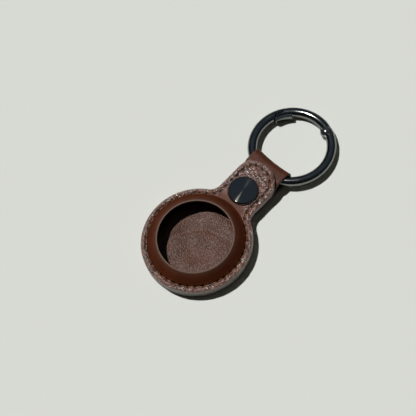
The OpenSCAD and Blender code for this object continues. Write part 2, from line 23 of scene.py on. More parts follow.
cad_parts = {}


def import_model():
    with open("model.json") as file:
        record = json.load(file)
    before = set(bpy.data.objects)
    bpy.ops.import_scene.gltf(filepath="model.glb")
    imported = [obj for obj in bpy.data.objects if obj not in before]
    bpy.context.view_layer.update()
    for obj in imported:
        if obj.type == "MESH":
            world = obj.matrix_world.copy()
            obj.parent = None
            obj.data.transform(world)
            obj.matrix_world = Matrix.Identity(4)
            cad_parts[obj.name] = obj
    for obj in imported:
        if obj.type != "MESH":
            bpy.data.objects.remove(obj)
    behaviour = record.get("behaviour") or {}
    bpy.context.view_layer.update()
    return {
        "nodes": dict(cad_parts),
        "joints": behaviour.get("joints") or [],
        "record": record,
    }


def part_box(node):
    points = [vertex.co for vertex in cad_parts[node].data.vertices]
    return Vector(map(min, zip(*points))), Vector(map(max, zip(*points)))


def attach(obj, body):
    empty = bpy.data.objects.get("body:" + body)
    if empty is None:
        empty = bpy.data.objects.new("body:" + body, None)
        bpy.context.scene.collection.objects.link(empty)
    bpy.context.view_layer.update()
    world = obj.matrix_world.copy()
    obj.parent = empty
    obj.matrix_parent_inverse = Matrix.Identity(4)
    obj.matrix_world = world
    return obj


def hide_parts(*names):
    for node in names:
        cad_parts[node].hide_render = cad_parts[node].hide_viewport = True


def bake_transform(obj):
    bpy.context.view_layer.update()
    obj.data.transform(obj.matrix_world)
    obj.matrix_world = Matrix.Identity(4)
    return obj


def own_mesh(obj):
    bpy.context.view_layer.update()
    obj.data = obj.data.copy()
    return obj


MM = 0.001
LOG = logging.getLogger("tag_holder")

Field2 = Callable[[np.ndarray, np.ndarray], np.ndarray]
Field3 = Callable[[np.ndarray], np.ndarray]
Colour = tuple[float, float, float]


class Body(Enum):
    """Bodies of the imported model."""

    HOLDER = "holder"
    TAB = "tab"
    RING = "ring"
    GATE = "gate"
    PLUNGER = "plunger"


class Slot(Enum):
    """Material slots of the record."""

    PEBBLED = "leather_pebbled"
    SMOOTH = "leather_smooth"
    LINING = "leather_lining"
    EDGE = "leather_edge"
    FORMER = "former_plastic"
    THREAD = "thread"
    CAP = "cap_metal"
    SNAP = "snap_metal"
    RING = "ring_metal"
    SPRING = "spring_steel"


# ---------------------------------------------------------------- plain geometry


def arc(centre: Sequence[float], radius: float, start: float, end: float, steps: int) -> np.ndarray:
    """Points on an arc, both ends included.

    Args:
        centre: Middle of the arc.
        radius: Radius of the arc.
        start: First angle in degrees.
        end: Last angle in degrees.
        steps: Number of steps from the first point to the last.

    Returns:
        Array of steps + 1 points.
    """
    turn = np.radians(np.linspace(start, end, steps + 1))
    return np.stack([centre[0] + radius * np.cos(turn), centre[1] + radius * np.sin(turn)], axis=1)


def smooth_step(value: np.ndarray, low: float, high: float) -> np.ndarray:
    """Rises smoothly from 0 at low to 1 at high."""
    share = np.clip((value - low) / (high - low), 0.0, 1.0)
    return share * share * (3.0 - 2.0 * share)


def hump(value: np.ndarray, width: float) -> np.ndarray:
    """Smooth hump of height 1 at zero."""
    return np.exp(-((value / width) ** 2))


def rounded(profile: Sequence[Sequence[float]], radius: float, steps: int = 3) -> np.ndarray:
    """Rounds the inner corners of an open profile.

    Args:
        profile: Points of the profile.
        radius: Largest radius of a corner, less where the sides are short.
        steps: Steps in each rounded corner.

    Returns:
        Points of the rounded profile.
    """
    points = np.array(profile, float)
    made = [points[0]]
    for before, corner, after in zip(points[:-2], points[1:-1], points[2:]):
        back, ahead = before - corner, after - corner
        length = min(np.linalg.norm(back), np.linalg.norm(ahead))
        back, ahead = back / np.linalg.norm(back), ahead / np.linalg.norm(ahead)
        half = math.acos(float(np.clip(back @ ahead, -1.0, 1.0))) / 2.0
        trim = min(radius / math.tan(max(half, 0.05)), 0.45 * length)
        for share in np.linspace(0.0, 1.0, steps + 1):
            start, end = corner + back * trim, corner + ahead * trim
            made.append((1 - share) ** 2 * start + 2 * share * (1 - share) * corner + share**2 * end)
    made.append(points[-1])
    return np.array(made)


def smooth_path(points: np.ndarray, steps: int) -> np.ndarray:
    """Curve through points, with steps between one and the next."""
    padded = np.concatenate([[2 * points[0] - points[1]], points, [2 * points[-1] - points[-2]]])
    made = []
    for a, b, c, d in zip(padded, padded[1:], padded[2:], padded[3:]):
        for t in np.linspace(0, 1, steps, endpoint=False):
            made.append(
                0.5 * (2 * b + (c - a) * t + (2 * a - 5 * b + 4 * c - d) * t**2 + (3 * b - a - 3 * c + d) * t**3)
            )
    made.append(points[-1])
    return np.array(made)


class Noise:
    """Smooth random heights over a plane, from a seeded table."""

    def __init__(self, seed: int, size: int = 128) -> None:
        """Fills the table.

        Args:
            seed: Seed of the table.
            size: Entries along each side of the table.
        """
        self.size = size
        self.table = np.random.default_rng(seed).random((size, size))

    def at(self, x: np.ndarray, y: np.ndarray, scale: float) -> np.ndarray:
        """Heights from 0 to 1 with humps about scale apart.

        Args:
            x: First coordinates.
            y: Second coordinates.
            scale: Distance between humps.

        Returns:
            One height for each point.
        """
        u, v = x / scale + 37.3, y / scale + 91.7
        i, j = np.floor(u).astype(int), np.floor(v).astype(int)
        a, b = u - i, v - j
        a, b = a * a * (3 - 2 * a), b * b * (3 - 2 * b)
        n = self.size
        low = self.table[i % n, j % n] * (1 - a) + self.table[(i + 1) % n, j % n] * a
        high = self.table[i % n, (j + 1) % n] * (1 - a) + self.table[(i + 1) % n, (j + 1) % n] * a
        return low * (1 - b) + high * b

    def ridged(self, x: np.ndarray, y: np.ndarray, scale: float) -> np.ndarray:
        """Rounded cells with narrow valleys, from 0 in a valley to 1 on a cell."""
        first = np.abs(2 * self.at(x, y, scale) - 1)
        second = np.abs(2 * self.at(x + 13.1, y - 7.7, scale * 0.53) - 1)
        return np.clip(1.6 * first, 0, 1) * 0.65 + np.clip(1.6 * second, 0, 1) * 0.35


@dataclass(frozen=True)
class Outline:
    """Plan of a disc with a neck that ends round, or is cut straight across.

    Attributes:
        disc_r: Radius of the disc.
        fillet_r: Radius of the hollow corners between disc and neck.
        half: Half the width of the neck.
        end_y: Where the neck ends.
        corner_x: Half the straight part of a round end.
        cut: True where the neck is cut straight across at end_y.
    """

    disc_r: float
    fillet_r: float
    half: float
    end_y: float
    corner_x: float = 0.0
    cut: bool = False

    def right_half(self, inset: float, step: float) -> np.ndarray:
        """Points from the bottom of the disc round to the middle of the neck's end.

        Args:
            inset: Distance in from the outline.
            step: Distance between points on the outline itself.

        Returns:
            As many points for every inset.
        """

        def steps(length: float) -> int:
            """Number of steps over a length."""
            return max(2, math.ceil(length / step))

        fx = self.half + self.fillet_r
        fy = math.sqrt((self.disc_r + self.fillet_r) ** 2 - fx**2)
        lean = math.degrees(math.atan2(fy, fx))
        hollow = self.fillet_r + inset
        top = self.end_y - inset
        parts = [
            arc((0, 0), self.disc_r - inset, -90, lean, steps(self.disc_r * math.radians(90 + lean)))[:-1]
        ]
        count = steps(self.fillet_r * math.radians(lean))
        if self.cut:
            stop = 180 + math.degrees(math.asin((fy - top) / hollow))
            parts.append(arc((fx, fy), hollow, 180 + lean, stop, count))
            parts.append(np.linspace(parts[-1][-1], (0.0, top), steps(self.half) + 1)[1:])
            return np.concatenate(parts)
        corner_r = self.half - self.corner_x
        corner_y = self.end_y - corner_r
        parts.append(arc((fx, fy), hollow, 180 + lean, 180, count)[:-1])
        side = self.half - inset
        parts.append(np.linspace((side, fy), (side, corner_y), steps(corner_y - fy) + 1)[:-1])
        parts.append(
            arc((self.corner_x, corner_y), corner_r - inset, 0, 90, steps(corner_r * math.pi / 2))
        )
        if self.corner_x:
            parts.append(np.linspace((self.corner_x, top), (0.0, top), 4)[1:])
        return np.concatenate(parts)

    def loop(self, inset: float = 0.0, step: float = 0.32) -> np.ndarray:
        """Closed outline, counterclockwise."""
        right = self.right_half(inset, step)
        left = right[-2:0:-1] * (-1, 1)
        return np.concatenate([right, left])


def ring_points(centre: Sequence[float], radius: float, count: int) -> np.ndarray:
    """Closed circle of points, counterclockwise."""
    return arc(centre, radius, 0, 360, count)[:-1]


def inside(points: np.ndarray, loop: np.ndarray) -> np.ndarray:
    """Tells which points lie inside a closed loop."""
    after = np.roll(loop, -1, axis=0)
    rise = after[:, 1] - loop[:, 1]
    rise = np.where(rise == 0, 1e-12, rise)
    found = np.zeros(len(points), bool)
    for start in range(0, len(points), 4000):
        x, y = points[start : start + 4000, :1], points[start : start + 4000, 1:]
        crossing = (loop[:, 1] > y) != (after[:, 1] > y)
        reach = loop[:, 0] + (after[:, 0] - loop[:, 0]) * (y - loop[:, 1]) / rise
        found[start : start + 4000] = (crossing & (x < reach)).sum(axis=1) % 2 == 1
    return found


def fill(loops: Sequence[np.ndarray], spacing: float) -> tuple[np.ndarray, np.ndarray]:
    """Fills the plan between an outer loop and its holes with triangles.

    Args:
        loops: Outer loop first, then the holes.
        spacing: Distance between the points that are added inside.

    Returns:
        The points, those of the loops first and in order, and the triangles.
    """
    rim = np.concatenate(loops)
    low, high = rim.min(axis=0), rim.max(axis=0)
    rows = np.arange(low[1], high[1], spacing * math.sqrt(3) / 2)
    grid = []
    for number, y in enumerate(rows):
        x = np.arange(low[0], high[0], spacing) + (number % 2) * spacing / 2
        grid.append(np.stack([x, np.full_like(x, y)], axis=1))
    added = np.concatenate(grid)
    keep = inside(added, loops[0])
    for hole in loops[1:]:
        keep &= ~inside(added, hole)
    added = added[keep]
    tree = KDTree(len(rim))
    for number, point in enumerate(rim):
        tree.insert((point[0], point[1], 0.0), number)
    tree.balance()
    gap = np.array([tree.find((p[0], p[1], 0.0))[2] for p in added]) if len(added) else np.zeros(0)
    points = np.concatenate([rim, added[gap > 0.6 * spacing]]) if len(added) else rim
    edges, start = [], 0
    for loop in loops:
        numbers = list(range(start, start + len(loop)))
        edges += list(zip(numbers, numbers[1:] + numbers[:1]))
        start += len(loop)
    _, _, faces, origin, _, _ = delaunay_2d_cdt([Vector(p) for p in points], edges, [], 0, 1e-7)
    index = np.array([source[0] if source else -1 for source in origin])
    triangles = index[np.array([face[:3] for face in faces])]
    triangles = triangles[(triangles >= 0).all(axis=1)]
    middle = points[triangles].mean(axis=1)
    keep = inside(middle, loops[0])
    for hole in loops[1:]:
        keep &= ~inside(middle, hole)
    return points, triangles[keep]


class Shell:
    """Closed mesh under construction, in millimetres, with marks that the finishes read."""

    def __init__(self) -> None:
        """Starts with nothing in it."""
        self.points: list[np.ndarray] = []
        self.faces: list[tuple[int, ...]] = []
        self.marks: list[tuple[int, int, dict[str, float | np.ndarray]]] = []
        self.count = 0

    def add(self, points: np.ndarray, **marks: float | np.ndarray) -> np.ndarray:
        """Adds points.

        Args:
            points: Array of points.
            marks: Value of each mark on these points.

        Returns:
            The numbers of the new points.
        """
        points = np.asarray(points, float).reshape(-1, 3)
        self.points.append(points)
        self.marks.append((self.count, len(points), marks))
        numbers = np.arange(self.count, self.count + len(points))
        self.count += len(points)
        return numbers

    def strip(self, first: np.ndarray, second: np.ndarray, closed: bool = True) -> None:
        """Joins two rows of as many points by faces."""
        last = len(first) if closed else len(first) - 1
        for i in range(last):
            j = (i + 1) % len(first)
            self.faces.append((int(first[i]), int(first[j]), int(second[j]), int(second[i])))

    def strips(self, rows: Sequence[np.ndarray]) -> None:
        """Joins each row to the next."""
        for first, second in zip(rows, rows[1:]):
            self.strip(first, second)

    def fan(self, row: np.ndarray, tip: int) -> None:
        """Closes a row with triangles to one point."""
        for i in range(len(row)):
            self.faces.append((int(row[i]), int(row[(i + 1) % len(row)]), tip))

    def face(
        self, loops: Sequence[np.ndarray], spacing: float, lift: Field2, **marks: float | Field2
    ) -> list[np.ndarray]:
        """Adds a filled plan, lifted to a height field.

        Args:
            loops: Outer loop first, then the holes.
            spacing: Distance between the points inside.
            lift: Gives the height over each point of the plan.
            marks: Value of each mark on the plan, or what gives it over each point.

        Returns:
            The numbers of the points of each loop.
        """
        plan, triangles = fill(loops, spacing)
        x, y = plan[:, 0], plan[:, 1]
        found = {key: value(x, y) if callable(value) else value for key, value in marks.items()}
        numbers = self.add(np.column_stack([plan, lift(x, y)]), **found)
        self.faces += [tuple(int(numbers[i]) for i in triangle) for triangle in triangles]
        rows, start = [], 0
        for loop in loops:
            rows.append(numbers[start : start + len(loop)])
            start += len(loop)
        return rows

    def build(self, name: str, place: Callable[[np.ndarray], np.ndarray] | None = None) -> bpy.types.Object:
        """Makes the object.

        Args:
            name: Name of the object and its mesh.
            place: Moves the finished points, still in millimetres.

        Returns:
            The new object, with outward faces and soft shading.
        """
        points = np.concatenate(self.points)
        if place is not None:
            points = place(points)
        mesh = bpy.data.meshes.new(name)
        mesh.from_pydata((points * MM).tolist(), [], self.faces)
        turned = bmesh.new()
        turned.from_mesh(mesh)
        bmesh.ops.recalc_face_normals(turned, faces=turned.faces[:])
        turned.to_mesh(mesh)
        turned.free()
        for mark in sorted({key for _, _, marks in self.marks for key in marks}):
            values = np.zeros(self.count, np.float32)
            for start, length, marks in self.marks:
                values[start : start + length] = marks.get(mark, 0.0)
            mesh.attributes.new(mark, "FLOAT", "POINT").data.foreach_set("value", values)
        soften(mesh)
        made = bpy.data.objects.new(name, mesh)
        bpy.context.scene.collection.objects.link(made)
        return made


def soften(mesh: bpy.types.Mesh) -> None:
    """Shades a mesh softly, with each corner's normal led by the largest faces round it."""
    mesh.shade_smooth()
    count = len(mesh.polygons)
    normal, area = np.zeros(3 * count, np.float32), np.zeros(count, np.float32)
    mesh.polygons.foreach_get("normal", normal)
    mesh.polygons.foreach_get("area", area)
    start, total = np.zeros(count, np.int32), np.zeros(count, np.int32)
    mesh.polygons.foreach_get("loop_start", start)
    mesh.polygons.foreach_get("loop_total", total)
    corner = np.zeros(len(mesh.loops), np.int32)
    mesh.loops.foreach_get("vertex_index", corner)
    owner = np.repeat(np.arange(count), total)
    weighed = normal.reshape(-1, 3) * area[:, None]
    summed = np.zeros((len(mesh.vertices), 3))
    np.add.at(summed, corner, weighed[owner])
    summed /= np.maximum(np.linalg.norm(summed, axis=1, keepdims=True), 1e-12)
    mesh.normals_split_custom_set_from_vertices(summed.tolist())


def lathe(
    name: str, profile: np.ndarray, segments: int, place: Callable[[np.ndarray], np.ndarray]
) -> bpy.types.Object:
    """Turns a profile round the Z axis.

    Args:
        name: Name of the object.
        profile: Radius and height of each point; a closed ring unless both ends are on the axis.
        segments: Number of steps round the axis.
        place: Moves the finished points.

    Returns:
        The new object.
    """
    shell = Shell()
    turn = np.radians(np.linspace(0, 360, segments, endpoint=False))
    rows: list[np.ndarray | int] = []
    for radius, height in profile:
        if radius < 1e-6:
            rows.append(int(shell.add(np.array([[0.0, 0.0, height]]))[0]))
            continue
        points = np.stack([radius * np.cos(turn), radius * np.sin(turn), np.full(segments, height)], axis=1)
        rows.append(shell.add(points))
    if not isinstance(rows[0], int):
        rows.append(rows[0])
    for first, second in zip(rows, rows[1:]):
        if isinstance(first, int):
            shell.fan(second, first)
        elif isinstance(second, int):
            shell.fan(first, second)
        else:
            shell.strip(first, second)
    return shell.build(name, place)


# ---------------------------------------------------------------- solids by distance


def both(first: np.ndarray, second: np.ndarray, soft: float) -> np.ndarray:
    """Distance to what two solids share, with its edge rounded."""
    near = np.clip(soft - np.abs(first - second), 0.0, None)
    return np.maximum(first, second) + near * near / (4 * soft)


def either(first: np.ndarray, second: np.ndarray, soft: float) -> np.ndarray:
    """Distance to two solids together, with a fillet between them."""
    return -both(-first, -second, soft)


def less(first: np.ndarray, second: np.ndarray, soft: float) -> np.ndarray:
    """Distance to the first solid with the second cut out of it."""
    return both(first, -second, soft)


def plan_distance(points: np.ndarray, loop: np.ndarray) -> np.ndarray:
    """Distance in plan to a closed loop, below 0 inside it."""
    nearest = np.full(len(points), np.inf)
    for start, end in zip(loop, np.roll(loop, -1, axis=0)):
        along, off = end - start, points[:, :2] - start
        share = np.clip(off @ along / (along @ along), 0.0, 1.0)
        nearest = np.minimum(nearest, np.hypot(off[:, 0] - share * along[0], off[:, 1] - share * along[1]))
    return np.where(inside(points[:, :2], loop), -nearest, nearest)


def slope_of(solid: Field3, points: np.ndarray) -> np.ndarray:
    """Direction and rate in which the distance to a solid grows, at each point."""
    nudge = 1e-3
    return np.stack(
        [(solid(points + nudge * way) - solid(points - nudge * way)) / (2 * nudge) for way in np.eye(3)], axis=1
    )


def skin(
    solid: Field3, low: Sequence[float], high: Sequence[float], step: float
) -> tuple[np.ndarray, np.ndarray, np.ndarray]:
    """Finds the closed skin of a solid that is given by distances.

    Args:
        solid: Gives the distance to the solid at each point, below 0 inside it.
        low: Lowest corner of a box round the solid.
        high: Highest corner of the box.
        step: Size of the cells that the box is searched in.

    Returns:
        Points, faces of four corners that point outwards, and the normal at each point.
    """
    axes = [np.arange(a, b + step, step) for a, b in zip(low, high)]
    size = np.array([len(axis) for axis in axes])
    grid = np.stack(np.meshgrid(*axes, indexing="ij"), axis=-1).reshape(-1, 3)
    value = solid(grid).reshape(size)
    cells = size - 1
    total, count, faces = np.zeros((cells.prod(), 3)), np.zeros(cells.prod()), []
    for axis in range(3):
        sides = [(axis + 1) % 3, (axis + 2) % 3]
        before = value[tuple(slice(0, -1) if k == axis else slice(None) for k in range(3))]
        after = value[tuple(slice(1, None) if k == axis else slice(None) for k in range(3))]
        spot = np.argwhere((before < 0) != (after < 0))
        spot = spot[((spot[:, sides] > 0) & (spot[:, sides] < cells[sides])).all(axis=1)]
        a, b = before[tuple(spot.T)], after[tuple(spot.T)]
        crossing = spot.astype(float)
        crossing[:, axis] += a / (a - b)
        corners = []
        for back in ((0, 0), (1, 0), (1, 1), (0, 1)):
            cell = spot.copy()
            cell[:, sides] -= back
            number = np.ravel_multi_index(tuple(cell.T), tuple(cells))
            np.add.at(total, number, crossing)
            np.add.at(count, number, 1)
            corners.append(number)
        found = np.stack(corners, axis=1)
        faces.append(np.where((a < 0)[:, None], found, found[:, ::-1]))
    used = np.flatnonzero(count)
    renumbered = np.full(len(count), -1)
    renumbered[used] = np.arange(len(used))
    points = np.array(low) + step * total[used] / count[used, None]
    for _ in range(4):
        slope = slope_of(solid, points)
        move = solid(points)[:, None] * slope / np.maximum((slope**2).sum(axis=1, keepdims=True), 0.2)
        points = points - np.clip(move, -0.5 * step, 0.5 * step)
    slope = slope_of(solid, points)
    normals = slope / np.maximum(np.linalg.norm(slope, axis=1, keepdims=True), 1e-9)
    return points, renumbered[np.concatenate(faces)], normals


# ---------------------------------------------------------------- layout of the model


def box_mm(node: str) -> tuple[np.ndarray, np.ndarray]:
    """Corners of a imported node, in millimetres."""
    low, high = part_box(node)
    return np.array(low) / MM, np.array(high) / MM


@dataclass(frozen=True)
class Layout:
    """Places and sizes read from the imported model, in millimetres.

    Attributes:
        back_t: Thickness of the back leather.
        floor_z: Height of the pocket's floor.
        welt_z: Top of the welt.
        lining_z: Top of the front lining.
        front_z: Top of the border.
        lip_z: Underside of the pocket's lip.
        crest_z: Crest of the raised ring.
        disc_r: Radius of the disc.
        foot_r: Radius of the raised ring's foot.
        crease_y: Where the tab bends.
        neck_half: Half the width of the neck.
        tab_end_y: End of the tab.
        tab_under_z: Underside of the tab's lining.
        tab_high_z: The same at the tab's raised end.
        rise_y0: Where the tab's rise starts.
        rise_y1: Where it ends.
        snap_y: Middle of the snap.
        ring_y: Middle of the ring.
        ring_z: Height of the ring's middle.
        ring_tilt: Tilt of the ring in radians.
    """

    back_t: float
    floor_z: float
    welt_z: float
    lining_z: float
    front_z: float
    lip_z: float
    crest_z: float
    disc_r: float
    foot_r: float
    crease_y: float
    neck_half: float
    tab_end_y: float
    tab_under_z: float
    tab_high_z: float
    rise_y0: float
    rise_y1: float
    snap_y: float
    ring_y: float
    ring_z: float
    ring_tilt: float
    tab_t: float = 1.8
    tab_lining_t: float = 0.5
    tab_corner_x: float = 0.9
    flat_end: float = 1.5
    moulded_t: float = 1.0
    fillet_r: float = 5.0
    strap_half: float = 8.6
    seam_inset: float = 2.3

    @classmethod
    def read(cls, joints: Sequence[dict], mounts: Sequence[dict]) -> Layout:
        """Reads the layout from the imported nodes, the joints and the mounts.

        Args:
            joints: The record's joints.
            mounts: The record's mounts.

        Returns:
            The layout.
        """
        hinge = next(j for j in joints if j["name"] == "tab_open")["pos_m"]
        eye = next(m for m in mounts if m["name"] == "ring_eye")
        front_low, front_high = box_mm("front_panel")
        tab_high = box_mm("front_tab")[1]
        cap_low, cap_high = box_mm("snap_cap")
        former = box_mm("rim_former")[1]
        tidy = lambda value: round(float(value), 2)
        return cls(
            back_t=tidy(box_mm("back_panel")[1][2]),
            floor_z=tidy(box_mm("back_lining")[1][2]),
            welt_z=tidy(box_mm("welt")[1][2]),
            lining_z=tidy(front_low[2]),
            front_z=tidy(hinge[2] / MM),
            lip_z=tidy(former[2] - 0.4),
            crest_z=tidy(front_high[2]),
            disc_r=tidy(front_high[0]),
            foot_r=tidy(former[0] + cls.moulded_t),
            crease_y=tidy(hinge[1] / MM),
            neck_half=9.3,
            tab_end_y=tidy(tab_high[1]),
            tab_under_z=tidy(hinge[2] / MM - cls.tab_t),
            tab_high_z=tidy(tab_high[2] - cls.tab_t),
            rise_y0=tidy(cap_high[1]),
            rise_y1=tidy(tab_high[1] - cls.flat_end),
            snap_y=tidy((cap_low[1] + cap_high[1]) / 2),
            ring_y=eye["pos_m"][1] / MM,
            ring_z=eye["pos_m"][2] / MM,
            ring_tilt=math.asin(eye["axis"][1]),
        )

    def tab_height(self, y: np.ndarray, over: float) -> np.ndarray:
        """Height along the tab of the layer that lies so far over its underside.

        Args:
            y: Places along the tab.
            over: Distance over the tab's underside.

        Returns:
            The heights.
        """
        rise, run = self.tab_high_z - self.tab_under_z, self.rise_y1 - self.rise_y0
        lean = 2 * math.atan(rise / run)
        radius = run / (2 * math.sin(lean))
        hollow, crown = radius - over, radius + over
        change = self.rise_y0 + hollow * math.sin(lean)
        low = np.clip(y - self.rise_y0, 0, hollow)
        high = np.clip(self.rise_y1 - y, 0, crown)
        lower = self.tab_under_z + radius - np.sqrt(hollow**2 - low**2)
        upper = self.tab_high_z - radius + np.sqrt(crown**2 - high**2)
        return np.where(y < change, lower, upper)

    def tab_top(self, y: np.ndarray) -> np.ndarray:
        """Height of the front leather's top, which rises more softly than its underside.

        Args:
            y: Places along the tab.

        Returns:
            The heights.
        """
        rise = self.tab_high_z - self.tab_under_z
        soft = self.front_z + rise * smooth_step(y, self.rise_y0 - 1.6, self.rise_y1 + 1.1)
        least = self.tab_height(y, self.tab_lining_t + 0.75)
        return np.maximum(soft, least)

    def front_outline(self) -> Outline:
        """Outline of the front leather with its tab."""
        return Outline(self.disc_r, self.fillet_r, self.neck_half, self.tab_end_y, self.tab_corner_x)


class Seam:
    """The seam that runs round the border and the tab."""

    def __init__(self, layout: Layout, pitch: float = 3.0) -> None:
        """Lays out the seam.

        Args:
            layout: Places and sizes of the model.
            pitch: Wanted distance between stitches.
        """
        half = layout.front_outline().right_half(layout.seam_inset, 0.04)
        along = np.concatenate([[0], np.cumsum(np.linalg.norm(np.diff(half, axis=0), axis=1))])
        self.length = float(along[-1])
        self.count = round(self.length / pitch)
        self.step = self.length / self.count
        self.half, self.along = half, along
        self.tree = KDTree(len(half))
        for number, point in enumerate(half):
            self.tree.insert((point[0], point[1], 0.0), number)
        self.tree.balance()
        heading = np.gradient(half, axis=0)
        self.heading = heading / np.linalg.norm(heading, axis=1, keepdims=True)

    def locate(self, x: np.ndarray, y: np.ndarray) -> tuple[np.ndarray, np.ndarray]:
        """Distance along the seam and distance in from it, for each point.

        Args:
            x: First coordinates, of either half.
            y: Second coordinates.

        Returns:
            The distances along and in.
        """
        mirrored = np.abs(x)
        nearest = np.array([self.tree.find((a, b, 0.0))[1] for a, b in zip(mirrored, y)])
        off = np.stack([mirrored, y], axis=1) - self.half[nearest]
        heading = self.heading[nearest]
        inward = heading[:, 0] * off[:, 1] - heading[:, 1] * off[:, 0]
        return self.along[nearest], np.where(inward < 0, -1, 1) * np.linalg.norm(off, axis=1)

    def stitch_places(self) -> tuple[np.ndarray, np.ndarray]:
        """Middle and heading of every stitch, right half first, then its mirror."""
        wanted = (np.arange(self.count) + 0.5) * self.step
        place = np.stack([np.interp(wanted, self.along, self.half[:, k]) for k in (0, 1)], axis=1)
        heading = np.stack([np.interp(wanted, self.along, self.heading[:, k]) for k in (0, 1)], axis=1)
        return (
            np.concatenate([place, place * (-1, 1)]),
            np.concatenate([heading, heading * (1, -1)]),
        )

    def relief(
        self, x: np.ndarray, y: np.ndarray, noise: Noise, depth: float
    ) -> tuple[np.ndarray, np.ndarray]:
        """Groove, needle holes and the puckers that the thread draws up.

        Args:
            x: First coordinates.
            y: Second coordinates.
            noise: Makes every pucker different.
            depth: Share of the full depth.

        Returns:
            Height to add at each point, and how far it lies in a hole or the groove, from 0 to 1; the finish darkens
            these as painted shade.
        """
        along, off = self.locate(x, y)
        off = off + 0.35 * (noise.at(x, y, 2.1) - 0.5)
        from_hole = (along / self.step + 0.5) % 1.0 - 0.5
        from_hole = from_hole * self.step + 0.5 * (noise.at(x + 50, y, 1.7) - 0.5)
        swell = 0.5 - 0.5 * np.cos(2 * np.pi * along / self.step)
        groove = -0.3 * hump(off, 0.4)
        pit = hump(from_hole, 0.5) * hump(off, 0.36)
        crease = -0.24 * hump(from_hole - 0.3 * off, 0.24) * np.exp(-np.abs(off) / 1.2)
        uneven = 0.4 + 1.2 * noise.at(x, y, 1.3)
        outer = 0.32 * swell * uneven * hump(off + 1.0, 0.6)
        inner = 0.22 * swell * uneven * hump(off - 0.9, 0.5)
        height = depth * (groove - 0.8 * pit + crease + outer + inner)
        # The second value marks holes and groove, which the finish darkens as painted shade.
        return height, np.clip(3.4 * pit + 0.75 * hump(off, 0.26), 0.0, 1.0)


# ---------------------------------------------------------------- materials


class Nodes:
    """Adds and links the nodes of one tree."""

    def __init__(self, tree: bpy.types.NodeTree) -> None:
        """Keeps the tree."""
        self.tree = tree
        self.made = 0

    def add(self, kind: str, settings: dict[str, object] | None = None, **inputs: object) -> bpy.types.Node:
        """Adds a node.

        Args:
            kind: Type of the node.
            settings: Properties of the node.
            inputs: Values or sockets for its inputs, with _ for a blank in a name.

        Returns:
            The node.
        """
        node = self.tree.nodes.new(kind)
        node.location = (200 * (self.made % 12), -260 * (self.made // 12))
        self.made += 1
        for key, value in (settings or {}).items():
            setattr(node, key, value)
        for key, value in inputs.items():
            number = key.lstrip("_")
            socket = node.inputs[int(number)] if number.isdigit() else node.inputs[key.replace("_", " ")]
            self.give(socket, value)
        return node

    def give(self, socket: bpy.types.NodeSocket, value: object) -> None:
        """Links a socket to an input, or sets its value."""
        if isinstance(value, bpy.types.NodeSocket):
            self.tree.links.new(value, socket)
        else:
            socket.default_value = value

    def math(self, operation: str, first: object, second: object = 0.0) -> bpy.types.NodeSocket:
        """Result of one sum."""
        return self.add("ShaderNodeMath", {"operation": operation}, _0=first, _1=second).outputs[0]

    def spread(self, value: object, low: float, high: float, to_low: float, to_high: float) -> bpy.types.NodeSocket:
        """Moves a value from one range to another, smoothly and clamped."""
        node = self.add("ShaderNodeMapRange", {"interpolation_type": "SMOOTHSTEP"})
        for number, entry in enumerate((value, low, high, to_low, to_high)):
            self.give(node.inputs[number], entry)
        return node.outputs[0]

    def blend(self, share: object, first: object, second: object, way: str = "MIX") -> bpy.types.NodeSocket:
        """Mixes two colours."""
        node = self.add("ShaderNodeMix", {"data_type": "RGBA", "blend_type": way})
        self.give(node.inputs[0], share)
        for socket, value in ((node.inputs[6], first), (node.inputs[7], second)):
            self.give(socket, (*value, 1.0) if isinstance(value, tuple) and len(value) == 3 else value)
        return node.outputs[2]

    def mark(self, name: str) -> bpy.types.NodeSocket:
        """Reads a mark of the mesh."""
        return self.add("ShaderNodeAttribute", {"attribute_name": name}).outputs["Fac"]


def shared_group(name: str, inputs: dict[str, float | None], outputs: Sequence[str]) -> tuple[bpy.types.NodeTree, bool]:
    """Finds a shared shader group, or starts it with its sockets.

    Args:
        name: Name of the group.
        inputs: Start value of each input, or None for the vector.
        outputs: Names of the values that come out.

    Returns:
        The group, and whether its nodes are still to be made.
    """
    found = bpy.data.node_groups.get(name)
    if found is not None:
        return found, False
    tree = bpy.data.node_groups.new(name, "ShaderNodeTree")
    for key, value in inputs.items():
        kind = "NodeSocketVector" if value is None else "NodeSocketFloat"
        socket = tree.interface.new_socket(key, in_out="INPUT", socket_type=kind)
        if value is not None:
            socket.default_value = value
    for key in outputs:
        tree.interface.new_socket(key, in_out="OUTPUT", socket_type="NodeSocketFloat")
    return tree, True


